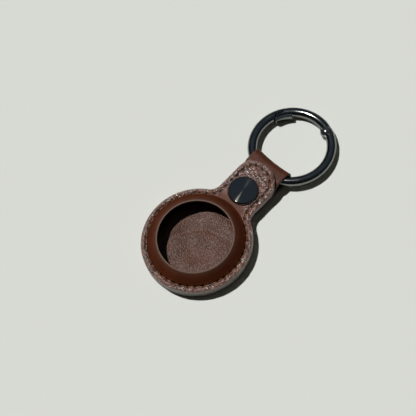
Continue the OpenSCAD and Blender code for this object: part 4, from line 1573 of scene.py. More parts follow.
@dataclass
class Stitching:
    """Stitches of the seam, laid by geometry nodes."""

    layout: Layout
    seam: Seam
    thread: bpy.types.Material
    thread_d: float = 0.6
    reach: float = 2.6
    arch: float = 0.45
    sunk: float = 0.42
    sides: int = 7
    steps: int = 14

    def tree(self) -> bpy.types.NodeTree:
        """Node tree that lays a twisted stitch on each point of a mesh.

        Returns:
            The tree, with named inputs for the sizes.
        """
        tree = bpy.data.node_groups.new("lay_stitches", "GeometryNodeTree")
        tree.interface.new_socket("Places", in_out="INPUT", socket_type="NodeSocketGeometry")
        for key in ("Thread diameter", "Length", "Arch", "Twists"):
            tree.interface.new_socket(key, in_out="INPUT", socket_type="NodeSocketFloat")
        tree.interface.new_socket("Material", in_out="INPUT", socket_type="NodeSocketMaterial")
        tree.interface.new_socket("Stitches", in_out="OUTPUT", socket_type="NodeSocketGeometry")
        nodes = Nodes(tree)
        start = nodes.add("NodeGroupInput").outputs
        half = nodes.math("MULTIPLY", start["Length"], 0.5)
        ends = []
        for side in (-1.0, 1.0):
            end = nodes.add("ShaderNodeCombineXYZ", X=nodes.math("MULTIPLY", half, side))
            nodes.give(end.inputs["Z"], nodes.math("MULTIPLY", start["Arch"], -1.0))
            ends.append(end.outputs[0])
        middle = nodes.add("ShaderNodeCombineXYZ", Z=nodes.math("MULTIPLY", start["Arch"], 1.0))
        curve = nodes.add("GeometryNodeCurveQuadraticBezier")
        curve.inputs["Resolution"].default_value = self.steps
        for key, value in (("Start", ends[0]), ("Middle", middle.outputs[0]), ("End", ends[1])):
            nodes.give(curve.inputs[key], value)
        share = nodes.add("GeometryNodeSplineParameter").outputs["Factor"]
        turn = nodes.math("MULTIPLY", nodes.math("MULTIPLY", share, start["Twists"]), 2 * math.pi)
        ply_off = nodes.math("MULTIPLY", start["Thread diameter"], 0.23)
        join = nodes.add("GeometryNodeJoinGeometry")
        for phase in (0.0, math.pi):
            angle = nodes.math("ADD", turn, phase)
            aside = nodes.math("MULTIPLY", nodes.math("COSINE", angle), ply_off)
            above = nodes.math("MULTIPLY", nodes.math("SINE", angle), ply_off)
            offset = nodes.add("ShaderNodeCombineXYZ", Y=aside, Z=above)
            moved = nodes.add("GeometryNodeSetPosition", Geometry=curve.outputs[0], Offset=offset.outputs[0])
            circle = nodes.add("GeometryNodeCurvePrimitiveCircle")
            circle.inputs["Resolution"].default_value = self.sides
            nodes.give(circle.inputs["Radius"], nodes.math("MULTIPLY", start["Thread diameter"], 0.29))
            tube = nodes.add("GeometryNodeCurveToMesh", Curve=moved.outputs[0], Profile_Curve=circle.outputs[0])
            tube.inputs["Fill Caps"].default_value = True
            nodes.give(join.inputs[0], tube.outputs[0])
        heading = nodes.add("GeometryNodeInputNamedAttribute", {"data_type": "FLOAT_VECTOR"}, Name="heading")
        upright = nodes.add("GeometryNodeInputNamedAttribute", {"data_type": "FLOAT_VECTOR"}, Name="upright")
        first = nodes.add("FunctionNodeAlignRotationToVector", {"axis": "Z"}, Vector=upright.outputs[0])
        second = nodes.add(
            "FunctionNodeAlignRotationToVector",
            {"axis": "X", "pivot_axis": "Z"},
            Rotation=first.outputs[0],
            Vector=heading.outputs[0],
        )
        laid = nodes.add(
            "GeometryNodeInstanceOnPoints", Points=start["Places"], Instance=join.outputs[0], Rotation=second.outputs[0]
        )
        real = nodes.add("GeometryNodeRealizeInstances", Geometry=laid.outputs[0])
        soft = nodes.add("GeometryNodeSetShadeSmooth", Geometry=real.outputs[0])
        painted = nodes.add("GeometryNodeSetMaterial", Geometry=soft.outputs[0], Material=start["Material"])
        end = nodes.add("NodeGroupOutput")
        nodes.give(end.inputs[0], painted.outputs[0])
        return tree

    def lay(self, name: str, tree: bpy.types.NodeTree, places: np.ndarray, heading: np.ndarray, upright: np.ndarray) -> bpy.types.Object:
        """Lays stitches at places and turns them into a plain mesh.

        Args:
            name: Name of the new object.
            tree: Node tree that lays them.
            places: Middle of each stitch in millimetres.
            heading: Direction of each stitch.
            upright: Direction away from the leather.

        Returns:
            The new object.
        """
        mesh = bpy.data.meshes.new(name + "_places")
        mesh.from_pydata((places * MM).tolist(), [], [])
        for key, values in (("heading", heading), ("upright", upright)):
            mesh.attributes.new(key, "FLOAT_VECTOR", "POINT").data.foreach_set("vector", values.astype(np.float32).ravel())
        source = bpy.data.objects.new(name + "_places", mesh)
        bpy.context.scene.collection.objects.link(source)
        modifier = source.modifiers.new("stitches", "NODES")
        modifier.node_group = tree
        values = {
            "Thread diameter": self.thread_d * MM,
            "Length": self.reach * MM,
            "Arch": self.arch * MM,
            "Twists": 1.5,
            "Material": self.thread,
        }
        for item in tree.interface.items_tree:
            if item.in_out == "INPUT" and item.name in values:
                modifier[item.identifier] = values[item.name]
        return plain_mesh(source, name)

    def make_front(self, tree: bpy.types.NodeTree) -> bpy.types.Object:
        """Makes the stitches of the border and the tab, above and under the tab.

        Args:
            tree: Node tree that lays the stitches.

        Returns:
            The new object.
        """
        layout = self.layout
        plan, heading = self.seam.stitch_places()
        count = len(plan)
        y, nudge = plan[:, 1], 0.01
        places, headings, uprights = [], [], []
        for height_at, side in ((layout.tab_top, 1.0), (lambda v: layout.tab_height(v, 0.0), -1.0)):
            height = height_at(y)
            slope = (height_at(y + nudge) - height_at(y - nudge)) / (2 * nudge)
            up = np.stack([np.zeros(count), -slope, np.ones(count)], axis=1)
            up *= side / np.linalg.norm(up, axis=1, keepdims=True)
            ahead = np.column_stack([heading, heading[:, 1] * slope])
            ahead /= np.linalg.norm(ahead, axis=1, keepdims=True)
            spot = np.column_stack([plan, height]) - up * self.sunk
            keep = np.full(count, True) if side > 0 else y > layout.crease_y + 2.0
            places.append(spot[keep])
            headings.append(ahead[keep])
            uprights.append(up[keep])
        piece = self.lay(
            "front_stitches", tree, np.concatenate(places), np.concatenate(headings), np.concatenate(uprights)
        )
        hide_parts("front_seam_thread", "tab_thread")
        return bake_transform(piece)

    def make_back(self, tree: bpy.types.NodeTree) -> bpy.types.Object:
        """Makes the stitches of the back."""
        plan, heading = self.seam.stitch_places()
        keep = plan[:, 1] < self.layout.crease_y - 0.8
        plan, heading = plan[keep], heading[keep]
        flat = np.zeros(len(plan))
        places = np.column_stack([plan, flat + 0.3])
        piece = self.lay(
            "back_stitches", tree, places, np.column_stack([heading, flat]), np.stack([flat, flat, flat - 1], axis=1)
        )
        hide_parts("back_seam_thread")
        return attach(piece, Body.HOLDER.value)


def plain_mesh(source: bpy.types.Object, name: str) -> bpy.types.Object:
    """Turns an object with modifiers into a plain mesh object and removes the source.

    Args:
        source: Object with live modifiers.
        name: Name of the new object.

    Returns:
        The new object.
    """
    bpy.context.view_layer.update()
    graph = bpy.context.evaluated_depsgraph_get()
    mesh = bpy.data.meshes.new_from_object(source.evaluated_get(graph), depsgraph=graph)
    mesh.name = name
    made = bpy.data.objects.new(name, mesh)
    bpy.context.scene.collection.objects.link(made)
    source.modifiers.clear()
    bpy.data.objects.remove(source)
    return made


@dataclass
class Snap:
    """Snap fastener: cap and socket on the tab, post and stud on the strap."""

    layout: Layout
    cap_metal: bpy.types.Material
    snap_metal: bpy.types.Material
    segments: int = 128
    dome: float = 0.2

    def at_snap(self, points: np.ndarray) -> np.ndarray:
        """Moves points to the snap."""
        return points + (0.0, self.layout.snap_y, 0.0)

    def make_cap(self) -> bpy.types.Object:
        """Makes the cap, a little domed, with a UV map that runs round it."""
        low, high = box_mm("snap_cap")
        radius = round(float(high[0]), 2)
        base, top = self.layout.front_z, float(high[2])
        crown = [(radius * s, top - self.dome * s * s) for s in np.linspace(0.0, 0.955, 14)]
        skirt = [(radius, top - self.dome - 0.32), (radius, base + 0.12), (radius - 0.15, base - 0.15)]
        post = [(1.25, base - 0.15), (1.25, float(low[2])), (0.0, float(low[2]))]
        profile = np.concatenate([crown[:-1], rounded([crown[-1], *skirt, *post[:2]], 0.16), post[1:]])
        piece = lathe("snap_cap_turned", profile, self.segments, self.at_snap)
        layer = piece.data.uv_layers.new(name="turning")
        for polygon in piece.data.polygons:
            corners = [piece.data.vertices[v].co for v in polygon.vertices]
            middle = sum(corners, Vector()) / len(corners)
            lead = math.atan2(middle.y - self.layout.snap_y * MM, middle.x)
            for loop, corner in zip(polygon.loop_indices, corners):
                x, y = corner.x, corner.y - self.layout.snap_y * MM
                turn = math.atan2(y, x) - lead if x or y else 0.0
                turn = (turn + math.pi) % (2 * math.pi) - math.pi
                layer.data[loop].uv = (math.hypot(x, y) / MM / 10, (lead + turn) / (2 * math.pi))
        dress(piece, self.cap_metal)
        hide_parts("snap_cap")
        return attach(piece, Body.TAB.value)

    def make_socket(self) -> bpy.types.Object:
        """Makes the socket under the tab."""
        low, high = box_mm("snap_socket")
        outer, z0, z1 = float(high[0]), float(low[2]), float(high[2])
        profile = rounded(
            [
                (1.25, z1),
                (1.25, z1 - 0.4),
                (2.85, z1 - 0.4),
                (2.85, z0 + 0.62),
                (3.25, z0 + 0.62),
                (3.25, z0 + 0.18),
                (2.85, z0 + 0.18),
                (2.95, z0),
                (3.5, z0 - 0.0),
                (3.9, z0 + 0.12),
                (outer, z0 + 0.45),
                (outer, z1),
                (1.25, z1),
            ],
            0.07,
            2,
        )[:-1]
        piece = lathe("snap_socket_turned", profile, self.segments, self.at_snap)
        dress(piece, self.snap_metal)
        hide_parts("snap_socket")
        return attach(piece, Body.TAB.value)

    def make_stud(self) -> bpy.types.Object:
        """Makes the stud on the strap."""
        low, high = box_mm("snap_stud")
        z0, z1 = float(low[2]), float(high[2])
        profile = rounded(
            [
                (1.25, z0),
                (3.6, z0),
                (3.6, z0 + 0.4),
                (2.0, z0 + 0.46),
                (2.0, z1 - 0.42),
                (2.4, z1 - 0.36),
                (2.4, z1 - 0.16),
                (2.0, z1),
                (1.8, z1),
                (1.78, z1 - 0.3),
                (1.25, z1 - 0.3),
                (1.25, z0),
            ],
            0.09,
            3,
        )[:-1]
        piece = lathe("snap_stud_turned", profile, self.segments, self.at_snap)
        dress(piece, self.snap_metal)
        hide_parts("snap_stud")
        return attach(piece, Body.HOLDER.value)

    def make_post(self) -> bpy.types.Object:
        """Makes the hollow rivet that holds the stud."""
        low, high = box_mm("snap_post")
        z1, flange = float(high[2]), float(high[0])
        profile = rounded(
            [
                (0.0, z1),
                (1.65, z1),
                (1.65, z1 - 0.2),
                (1.25, z1 - 0.2),
                (1.25, 0.35),
                (flange, 0.35),
                (flange, 0.02),
                (1.15, 0.02),
                (0.8, 0.35),
                (0.8, z1 - 0.6),
                (0.0, z1 - 0.6),
            ],
            0.1,
            3,
        )
        piece = lathe("snap_post_turned", profile, self.segments, self.at_snap)
        dress(piece, self.snap_metal)
        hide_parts("snap_post")
        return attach(piece, Body.HOLDER.value)


@dataclass
class KeyRing:
    """Gated key ring, worked out in its own plane round its middle.

    Attributes:
        layout: Places and sizes of the model.
        pin: Place of the gate's pin in the ring's plane.
        bore_a: Direction of the plunger's bore in degrees.
        metal: Finish of ring and gate.
        rivet: Finish of the pin's heads.
        steel: Finish of plunger and spring.
    """

    layout: Layout
    pin: tuple[float, float]
    bore_a: float
    metal: bpy.types.Material
    rivet: bpy.types.Material
    steel: bpy.types.Material
    ring_r: float = 15.8
    wire_r: float = 1.95
    body_step: float = 0.12
    gate_step: float = 0.09
    soft: float = 0.24
    nose_a: float = 65.0
    lap_angles: tuple[float, float, float, float] = (74.0, 80.0, 89.0, 95.0)
    lap_r: float = 15.35
    lap_gap: float = 0.3
    nose_r: float = 12.95
    nose_half: float = 1.2
    fork_r: float = 2.75
    fork_gap: float = 0.15
    tongue_r: float = 2.3
    tongue_half: float = 0.8
    slot_half: float = 0.9
    slot_end: float = 2.5
    hole_r: float = 0.6
    flat_r: float = 1.7
    seat_r: float = 1.85
    seat_z: float = 1.478
    rivet_r: float = 1.1
    rivet_h: float = 0.35
    bore_r: float = 0.9
    plunger_r: float = 0.81
    plunger_l: float = 2.5
    plunger_travel: float = 0.7
    bore_depth: float = 8.0
    spring_wire_d: float = 0.3
    spring_turns: float = 7.0

    @classmethod
    def read(
        cls, layout: Layout, joints: Sequence[dict], *finishes: bpy.types.Material
    ) -> KeyRing:
        """Reads the places of pin and bore from the joints.

        Args:
            layout: Places and sizes of the model.
            joints: The record's joints.
            finishes: Finishes of ring, rivet and steel parts.

        Returns:
            The key ring.
        """
        found = {joint["name"]: joint for joint in joints}
        x, y, z = (value / MM for value in found["gate_open"]["pos_m"])
        y, z = y - layout.ring_y, z - layout.ring_z
        tilt = layout.ring_tilt
        slide = found["plunger_slide"]["axis"]
        along = slide[1] * math.cos(tilt) - slide[2] * math.sin(tilt)
        pin = (x, y * math.cos(tilt) - z * math.sin(tilt))
        return cls(layout, pin, math.degrees(math.atan2(along, slide[0])), *finishes)

    @property
    def gate_a(self) -> float:
        """Direction of the pin in degrees."""
        return math.degrees(math.atan2(self.pin[1], self.pin[0]))

    def in_ring(self, points: np.ndarray) -> np.ndarray:
        """Moves points from the ring's own plane to their place."""
        x, y, z = points.T
        cos, sin = math.cos(self.layout.ring_tilt), math.sin(self.layout.ring_tilt)
        return np.column_stack([x, self.layout.ring_y + y * cos + z * sin, self.layout.ring_z - y * sin + z * cos])

    def at_pin(self, points: np.ndarray) -> np.ndarray:
        """Moves points drawn round the pin to their place."""
        return self.in_ring(points + (*self.pin, 0.0))

    def in_bore(self, points: np.ndarray) -> np.ndarray:
        """Moves points drawn round an upright axis to the plunger's bore."""
        lead = math.radians(self.bore_a)
        ahead, aside = np.array([math.cos(lead), math.sin(lead), 0]), np.array([-math.sin(lead), math.cos(lead), 0])
        up = np.array([0.0, 0.0, 1.0])
        return self.at_pin(points[:, 2:] * ahead + points[:, :1] * aside + points[:, 1:2] * up)

    def polar(self, radius: float, angle: float) -> np.ndarray:
        """Point at an angle past the pin."""
        turn = math.radians(self.gate_a + angle)
        return radius * np.array([math.cos(turn), math.sin(turn)])

    def gate_side(self, gap: float, start: float) -> np.ndarray:
        """Plan of the side of the lap joint that belongs to the gate.

        Args:
            gap: Distance out from the joint's line.
            start: Angle past the pin where the plan starts.

        Returns:
            A closed loop.
        """
        turn = math.degrees(gap / self.ring_r)
        far = 2 * self.ring_r
        out_a, face_a, back_a, tip_a = self.lap_angles
        outside = self.polar(self.ring_r + self.wire_r / 2, out_a + 2 * turn)
        face = self.polar(self.lap_r + gap, face_a + turn)
        back = self.polar(self.lap_r + gap, back_a + turn)
        tip = self.polar(self.ring_r - self.wire_r, tip_a + 2 * turn)
        return np.array(
            [
                face + 2.2 * (outside - face),
                face,
                back,
                back + 2.2 * (tip - back),
                (0.0, 0.0),
                self.polar(far, start),
                self.polar(far, (start + out_a) / 2),
            ]
        )

    def wire(self, points: np.ndarray) -> np.ndarray:
        """Distance to the whole round of wire."""
        return np.hypot(np.hypot(points[:, 0], points[:, 1]) - self.ring_r, points[:, 2]) - self.wire_r

    def past(self, points: np.ndarray, angle: float) -> np.ndarray:
        """Distance beyond the line at an angle past the pin."""
        x, y = self.polar(1.0, angle)
        return points[:, 1] * x - points[:, 0] * y

    def from_pin(self, points: np.ndarray) -> np.ndarray:
        """Distance from the pin's axis."""
        return np.hypot(points[:, 0] - self.pin[0], points[:, 1] - self.pin[1])

    def from_bore(self, points: np.ndarray) -> tuple[np.ndarray, np.ndarray]:
        """Distance along the bore from the pin, and aside from it."""
        lead = math.radians(self.bore_a)
        x, y = points[:, 0] - self.pin[0], points[:, 1] - self.pin[1]
        return x * math.cos(lead) + y * math.sin(lead), y * math.cos(lead) - x * math.sin(lead)

    def body_solid(self, points: np.ndarray) -> np.ndarray:
        """Distance to the ring's body: the wire up to the lap joint, and the hinge's tongue."""
        soft, level = self.soft, np.abs(points[:, 2])
        round_pin = self.from_pin(points)
        opening = np.maximum(-self.past(points, 0.0), self.past(points, self.nose_a))
        made = less(self.wire(points), opening, soft)
        made = less(made, plan_distance(points, self.gate_side(self.lap_gap, self.nose_a / 2)), soft)
        cheeks = np.maximum(round_pin - self.fork_r - self.fork_gap, self.tongue_half - level)
        made = less(made, cheeks, soft)
        tongue = both(round_pin - self.tongue_r, level - self.tongue_half, soft)
        made = either(made, tongue, 0.1)
        made = less(made, round_pin - self.hole_r - 0.05, 0.1)
        along, aside = self.from_bore(points)
        flat = np.maximum(np.maximum(self.flat_r - along, along - self.flat_r - 4.0), np.abs(aside) - 4.0)
        return less(made, flat, soft)

    def gate_solid(self, points: np.ndarray) -> np.ndarray:
        """Distance to the gate: its wire, the nose that the lap joint rests on, and the fork."""
        soft, level = self.soft, np.abs(points[:, 2])
        _, _, _, tip_a = self.lap_angles
        round_pin, radius = self.from_pin(points), np.hypot(points[:, 0], points[:, 1])
        made = both(self.wire(points), self.past(points, tip_a + 1.2), soft)
        nose = both(both(self.nose_r - radius, radius - self.lap_r, soft), level - self.nose_half, soft)
        nose = both(both(nose, -self.past(points, self.nose_a), soft), self.past(points, tip_a), soft)
        made = both(either(made, nose, soft), plan_distance(points, self.gate_side(0.03, -40.0)), soft)
        behind = both(self.past(points, 0.0), self.fork_r - round_pin, soft)
        made = less(made, behind, soft)
        reach = self.past(points, 0.0)
        slot = np.maximum(np.maximum(level - self.slot_half, reach - self.slot_end), round_pin - 4.2)
        made = less(made, slot, soft)
        made = less(made, round_pin - self.hole_r, 0.1)
        made = less(made, np.maximum(round_pin - self.seat_r, self.seat_z - level), 0.26)
        along, aside = self.from_bore(points)
        bore = np.maximum(np.hypot(aside, points[:, 2]) - self.bore_r, np.maximum(-along, along - self.bore_depth))
        return less(made, bore, 0.1)

    def make_solid(
        self, name: str, solid: Field3, low: Sequence[float], high: Sequence[float], step: float
    ) -> bpy.types.Object:
        """Makes a piece from its distances.

        Args:
            name: Name of the piece.
            solid: Gives the distance to the piece.
            low: Lowest corner of a box round it.
            high: Highest corner of the box.
            step: Size of the cells of the box.

        Returns:
            The new object.
        """
        points, faces, normals = skin(solid, low, high, step)
        mesh = bpy.data.meshes.new(name)
        mesh.from_pydata((self.in_ring(points) * MM).tolist(), [], faces.tolist())
        mesh.shade_smooth()
        turned = self.in_ring(normals) - self.in_ring(np.zeros((1, 3)))
        mesh.normals_split_custom_set_from_vertices(turned.tolist())
        made = bpy.data.objects.new(name, mesh)
        bpy.context.scene.collection.objects.link(made)
        dress(made, self.metal)
        return made

    def make_body(self) -> bpy.types.Object:
        """Makes the ring's body."""
        reach, half = self.ring_r + self.wire_r + 0.4, self.wire_r + 0.4
        piece = self.make_solid(
            "ring_wire", self.body_solid, (-reach, -reach, -half), (reach, reach, half), self.body_step
        )
        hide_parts("ring_body")
        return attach(piece, Body.RING.value)

    def make_gate(self) -> bpy.types.Object:
        """Makes the gate."""
        half = self.wire_r + 0.3
        low = (-self.ring_r - self.wire_r, 2.5, -half)
        high = (self.pin[0] + self.fork_r + 2.5, self.ring_r + self.wire_r + 0.3, half)
        piece = self.make_solid("spring_gate", self.gate_solid, low, high, self.gate_step)
        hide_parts("ring_gate")
        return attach(piece, Body.GATE.value)

    def make_pin(self) -> bpy.types.Object:
        """Makes the rivet through the hinge, with a low domed head on each side."""
        top, seat = self.seat_z + self.rivet_h, self.seat_z
        dome = [(self.rivet_r * s, top + 0.12 - 0.3 * s**4) for s in np.linspace(0.0, 0.95, 8)]
        head = np.array([*dome, (self.rivet_r, seat + 0.1), (self.rivet_r, seat)])
        upper = np.concatenate([head, [(self.hole_r, seat)]])
        profile = np.concatenate([upper, upper[::-1] * (1, -1)])
        piece = lathe("hinge_rivet", profile, 64, self.at_pin)
        dress(piece, self.rivet)
        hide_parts("gate_pin")
        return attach(piece, Body.GATE.value)

    def make_plunger(self) -> bpy.types.Object:
        """Makes the plunger with its round nose."""
        tip = self.flat_r + 0.02
        nose = [
            (self.plunger_r * math.sin(a), tip + self.plunger_r * (1 - math.cos(a)))
            for a in np.radians(np.linspace(0, 90, 13))
        ]
        tail = rounded([nose[-1], (self.plunger_r, tip + self.plunger_l), (0.0, tip + self.plunger_l)], 0.08)
        piece = lathe("gate_plunger_turned", np.array([*nose[:-1], *tail]), 48, self.in_bore)
        dress(piece, self.steel)
        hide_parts("gate_plunger")
        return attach(piece, Body.PLUNGER.value)

    def coil_tree(self) -> bpy.types.NodeTree:
        """Node tree that winds a coil spring.

        Returns:
            The tree, with named inputs for the sizes.
        """
        tree = bpy.data.node_groups.new("wind_spring", "GeometryNodeTree")
        tree.interface.new_socket("Geometry", in_out="INPUT", socket_type="NodeSocketGeometry")
        for key in ("Turns", "Radius", "Length", "Wire diameter"):
            tree.interface.new_socket(key, in_out="INPUT", socket_type="NodeSocketFloat")
        tree.interface.new_socket("Material", in_out="INPUT", socket_type="NodeSocketMaterial")
        tree.interface.new_socket("Spring", in_out="OUTPUT", socket_type="NodeSocketGeometry")
        nodes = Nodes(tree)
        start = nodes.add("NodeGroupInput").outputs
        coil = nodes.add("GeometryNodeCurveSpiral")
        coil.inputs["Resolution"].default_value = 24
        for key, value in (
            ("Rotations", start["Turns"]),
            ("Start Radius", start["Radius"]),
            ("End Radius", start["Radius"]),
            ("Height", start["Length"]),
        ):
            nodes.give(coil.inputs[key], value)
        circle = nodes.add("GeometryNodeCurvePrimitiveCircle")
        circle.inputs["Resolution"].default_value = 10
        nodes.give(circle.inputs["Radius"], nodes.math("MULTIPLY", start["Wire diameter"], 0.5))
        tube = nodes.add("GeometryNodeCurveToMesh", Curve=coil.outputs[0], Profile_Curve=circle.outputs[0])
        tube.inputs["Fill Caps"].default_value = True
        soft = nodes.add("GeometryNodeSetShadeSmooth", Geometry=tube.outputs[0])
        real = nodes.add("GeometryNodeRealizeInstances", Geometry=soft.outputs[0])
        painted = nodes.add("GeometryNodeSetMaterial", Geometry=real.outputs[0], Material=start["Material"])
        end = nodes.add("NodeGroupOutput")
        nodes.give(end.inputs[0], painted.outputs[0])
        return tree

    def make_spring(self) -> bpy.types.Object:
        """Makes the coil spring behind the plunger."""
        tree = self.coil_tree()
        mesh = bpy.data.meshes.new("gate_coil_start")
        mesh.from_pydata([(0.0, 0.0, 0.0)], [], [])
        source = bpy.data.objects.new("gate_coil_start", mesh)
        bpy.context.scene.collection.objects.link(source)
        modifier = source.modifiers.new("coil", "NODES")
        modifier.node_group = tree
        first = self.flat_r + 0.02 + self.plunger_l + self.spring_wire_d / 2
        last = self.bore_depth - 0.02 - self.spring_wire_d / 2
        values = {
            "Turns": self.spring_turns,
            "Radius": (self.plunger_r - self.spring_wire_d / 2) * MM,
            "Length": (last - first) * MM,
            "Wire diameter": self.spring_wire_d * MM,
            "Material": self.steel,
        }
        for item in tree.interface.items_tree:
            if item.in_out == "INPUT" and item.name in values:
                modifier[item.identifier] = values[item.name]
        piece = plain_mesh(source, "gate_coil")
        flat = np.zeros(3 * len(piece.data.vertices), np.float32)
        piece.data.vertices.foreach_get("co", flat)
        placed = self.in_bore(flat.reshape(-1, 3) / MM + (0.0, 0.0, first)) * MM
        piece.data.vertices.foreach_set("co", placed.astype(np.float32).ravel())
        piece.data.update()
        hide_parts("gate_spring")
        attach(piece, Body.GATE.value)
        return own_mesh(piece)


@dataclass(frozen=True)
class Sun:
    """Sun that lights some pieces.

    Attributes:
        name: Name of the lamp.
        elevation: Height of the sun in degrees.
        heading: Direction in which its light travels, in degrees from +X.
        energy: Strength of the lamp.
        size: Width of the sun in degrees.
        colour: Colour of its light.
        pieces: Names of the pieces that it lights, or none for all that no other sun lights.
    """

    name: str
    elevation: float
    heading: float
    energy: float
    size: float
    colour: Colour = (1.0, 0.985, 0.96)
    pieces: tuple[str, ...] = ()


class Studio:
    """Camera, floor and light."""

    elevation: float = 64.70
    azimuth: float = 60.12
    roll: float = -17.51
    distance: float = 450.0
    aim: tuple[float, float] = (-7.83, 13.72)
    focal_px: float = 1134.0
    frame_px: float = 416.0
    sensor: float = 36.0
    suns: tuple[Sun, ...] = (
        Sun("cap_sun", 73.0, 3.9, 0.24, 0.4, (1.0, 0.95, 0.82), ("snap_cap_turned",)),
        Sun("leather_sun", 72.0, 4.0, 3.65, 2.2, pieces=("front_leather",)),
        Sun("ring_sun", 77.4, 20.5, 3.04, 2.6, pieces=("ring_wire", "spring_gate", "hinge_rivet")),
        Sun("key_sun", 61.0, 6.0, 3.04, 2.2),
    )

    def make_camera(self) -> None:
        """Makes the camera at the photograph's angle."""
        e, a, roll = (math.radians(v) for v in (self.elevation, self.azimuth, self.roll))
        back = Vector((math.sin(a) * math.cos(e), -math.cos(a) * math.cos(e), math.sin(e)))
        right = (-back).cross(Vector((0, 0, 1))).normalized()
        up = right.cross(-back)
        across = right * math.cos(roll) + up * math.sin(roll)
        upward = up * math.cos(roll) - right * math.sin(roll)
        place = Vector((*self.aim, 0.0)) + back * self.distance
        data = bpy.data.cameras.new("camera")
        data.sensor_width = self.sensor
        data.lens = self.focal_px / self.frame_px * self.sensor
        data.clip_start, data.clip_end = 0.01, 10.0
        camera = bpy.data.objects.new("camera", data)
        turned = Matrix((across, upward, back)).transposed().to_4x4()
        camera.matrix_world = Matrix.Translation(place * MM) @ turned
        bpy.context.scene.collection.objects.link(camera)
        bpy.context.scene.camera = camera

    def make_floor(self) -> None:
        """Makes the plain pale floor."""
        mesh = bpy.data.meshes.new("floor")
        half = 3.0
        mesh.from_pydata([(-half, -half, 0), (half, -half, 0), (half, half, 0), (-half, half, 0)], [], [(0, 1, 2, 3)])
        floor = bpy.data.objects.new("floor", mesh)
        bpy.context.scene.collection.objects.link(floor)
        material, _, shader = fresh_material("floor_paint")
        shader.inputs["Base Color"].default_value = (0.77, 0.795, 0.77, 1.0)
        shader.inputs["Roughness"].default_value = 0.85
        shader.inputs["Specular IOR Level"].default_value = 0.2
        mesh.materials.append(material)
        floor.location.z = -0.00002

    def set_view(self) -> None:
        """Shows colours as they are lit, without a film curve."""
        bpy.context.scene.view_settings.view_transform = "Standard"
        bpy.context.scene.view_settings.look = "None"

    def add_sun(self, sun: Sun, pieces: Sequence[bpy.types.Object]) -> None:
        """Adds a sun.

        Args:
            sun: Its direction, strength and colour.
            pieces: The pieces that it lights.
        """
        e, h = math.radians(sun.elevation), math.radians(sun.heading)
        travel = Vector((math.cos(e) * math.cos(h), math.cos(e) * math.sin(h), -math.sin(e)))
        light = bpy.data.lights.new(sun.name, "SUN")
        light.energy = sun.energy
        light.angle = math.radians(sun.size)
        light.color = sun.colour
        lamp = bpy.data.objects.new(sun.name, light)
        lamp.rotation_mode = "QUATERNION"
        lamp.rotation_quaternion = travel.to_track_quat("-Z", "Y")
        bpy.context.scene.collection.objects.link(lamp)
        lit = bpy.data.collections.new(sun.name + "_lit")
        for piece in pieces:
            lit.objects.link(piece)
        lamp.light_linking.receiver_collection = lit

    def make_light(self) -> None:
        """Makes the suns and the surroundings."""
        rest = [piece for piece in bpy.context.scene.objects if piece.type == "MESH"]
        for sun in self.suns:
            pieces = [piece for piece in rest if piece.name in sun.pieces or not sun.pieces]
            rest = [piece for piece in rest if piece not in pieces]
            self.add_sun(sun, pieces)
        world = bpy.data.worlds.new("surroundings")
        bpy.context.scene.world = world
        world.use_nodes = True
        world.node_tree.nodes.clear()
        nodes = Nodes(world.node_tree)
        way = nodes.add("ShaderNodeTexCoord").outputs["Generated"]
        parts = nodes.add("ShaderNodeSeparateXYZ", Vector=way)
        high = nodes.spread(parts.outputs["Z"], 0.2, 0.95, 0.0, 1.0)
        window = nodes.add("ShaderNodeVectorMath", {"operation": "DOT_PRODUCT"}, _0=way, _1=(-0.35, 0.93, 0.1))
        bright = nodes.spread(window.outputs["Value"], -0.9, 0.85, 0.25, 1.25)
        seen = nodes.blend(high, (0.01, 0.014, 0.02), (0.066, 0.09, 0.12))
        shade = nodes.add("ShaderNodeLightPath").outputs["Is Diffuse Ray"]
        colour = nodes.blend(shade, seen, (0.046, 0.044, 0.036))
        background = nodes.add("ShaderNodeBackground", Color=colour, Strength=bright)
        out = nodes.add("ShaderNodeOutputWorld")
        nodes.give(out.inputs["Surface"], background.outputs[0])


def finish_nodes(nodes: dict[str, bpy.types.Object], finishes: dict[str, tuple[bpy.types.Material, Slot]]) -> None:
    """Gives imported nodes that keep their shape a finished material.

    Args:
        nodes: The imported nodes.
        finishes: Material and slot of each node.
    """
    for name, (material, slot) in finishes.items():
        dress(nodes[name], material)


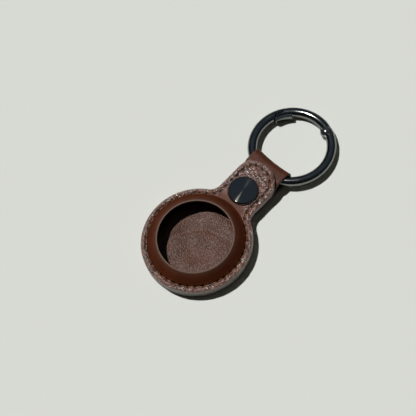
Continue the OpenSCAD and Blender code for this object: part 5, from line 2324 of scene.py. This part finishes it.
def main() -> None:
    """Builds the camera, the pieces and the light in order."""
    logging.basicConfig(level=logging.INFO, format="%(name)s: %(message)s")
    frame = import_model()
    studio = Studio()
    studio.make_camera()
    layout = Layout.read(frame["joints"], frame["record"]["mounts"])
    LOG.info("layout: %s", layout)
    seam = Seam(layout)

    pebbled = Leather(
        "pebbled_leather", (0.18, 0.064, 0.033), (0.035, 0.009, 0.0045), (0.085, 0.055, 0.043),
        pebble=0.00065, bump=0.00026, rough=0.38, shine=1.0, wax=0.9,
    ).build()
    # rim is the colour of the painted highlight on the raised ring's crest.
    waxed = Leather(
        "waxed_leather", (0.07, 0.0172, 0.0065), (0.052, 0.012, 0.0045), (0.03, 0.01, 0.006),
        pebble=0.0006, bump=0.00002, crease=0.2, rough=0.5, shine=0.04, rim=(0.2, 0.15, 0.125),
    ).build()
    smooth = Leather(
        "smooth_leather", (0.08, 0.022, 0.0095), (0.06, 0.015, 0.0065), (0.1, 0.07, 0.055),
        bump=0.00003, crease=0.2, rough=0.45, shine=0.22,
    ).build()
    # The light grey edge colour of the lining is a painted reflection of the floor.
    lining = Leather(
        "lining_leather", (0.07, 0.03, 0.02), (0.04, 0.014, 0.01), (0.3, 0.27, 0.22), bump=0.00006
    ).build()
    floor = Leather(
        "floor_leather", (0.092, 0.03, 0.0115), (0.065, 0.018, 0.007), (0.1, 0.09, 0.07),
        pebble=0.00052, bump=0.00016, crease=0.05, rough=0.36, shine=0.44,
    ).build()
    # The welt's greyish colours are partly a painted reflection of the floor on its side band.
    welt = Leather("welt_leather", (0.07, 0.05, 0.04), (0.04, 0.02, 0.015), (0.2, 0.18, 0.155)).build()
    # The second colour of the thread is its painted glints.
    thread = Thread("waxed_thread", (0.045, 0.014, 0.005), (0.36, 0.14, 0.05)).build()
    snap_metal = Metal("black_oxide", (0.05, 0.055, 0.07), 0.3).build()
    ring_metal = Metal("black_nickel", (0.2, 0.205, 0.195), 0.12).build()
    rivet_metal = Metal("rivet_nickel", (0.24, 0.24, 0.22), 0.22).build()
    steel = Metal("bright_steel", (0.5, 0.5, 0.52), 0.22).build()
    former = Metal("former_shell", (0.02, 0.012, 0.01), 0.5).build()
    cap_metal = TurnedCap("turned_cap", (0.195, 0.195, 0.185), 0.08, 0.00009).build((0.0, layout.snap_y * MM))

    cover = FrontCover(layout, seam, pebbled, waxed, lining)
    layers = PocketLayers(layout, floor, welt)
    back = BackCover(layout, seam, smooth)
    stitching = Stitching(layout, seam, thread)
    tree = stitching.tree()
    snap = Snap(layout, cap_metal, snap_metal)
    key_ring = KeyRing.read(layout, frame["joints"], ring_metal, rivet_metal, steel)
    steps: list[Callable[[], bpy.types.Object]] = [
        cover.make_leather,
        cover.make_ring,
        cover.make_lining,
        layers.make_floor,
        layers.make_welt,
        back.make,
        lambda: stitching.make_front(tree),
        lambda: stitching.make_back(tree),
        snap.make_cap,
        snap.make_socket,
        snap.make_stud,
        snap.make_post,
        key_ring.make_body,
        key_ring.make_gate,
        key_ring.make_pin,
        key_ring.make_plunger,
        key_ring.make_spring,
    ]
    for step in steps:
        piece = step()
        LOG.info("%s: %d faces", piece.name, len(piece.data.polygons))
    finish_nodes(
        frame["nodes"],
        {
            "rim_former": (former, Slot.FORMER),
            "snap_spring": (steel, Slot.SPRING),
        },
    )
    studio.make_floor()
    studio.make_light()
    studio.set_view()


if __name__ == "__main__":
    main()
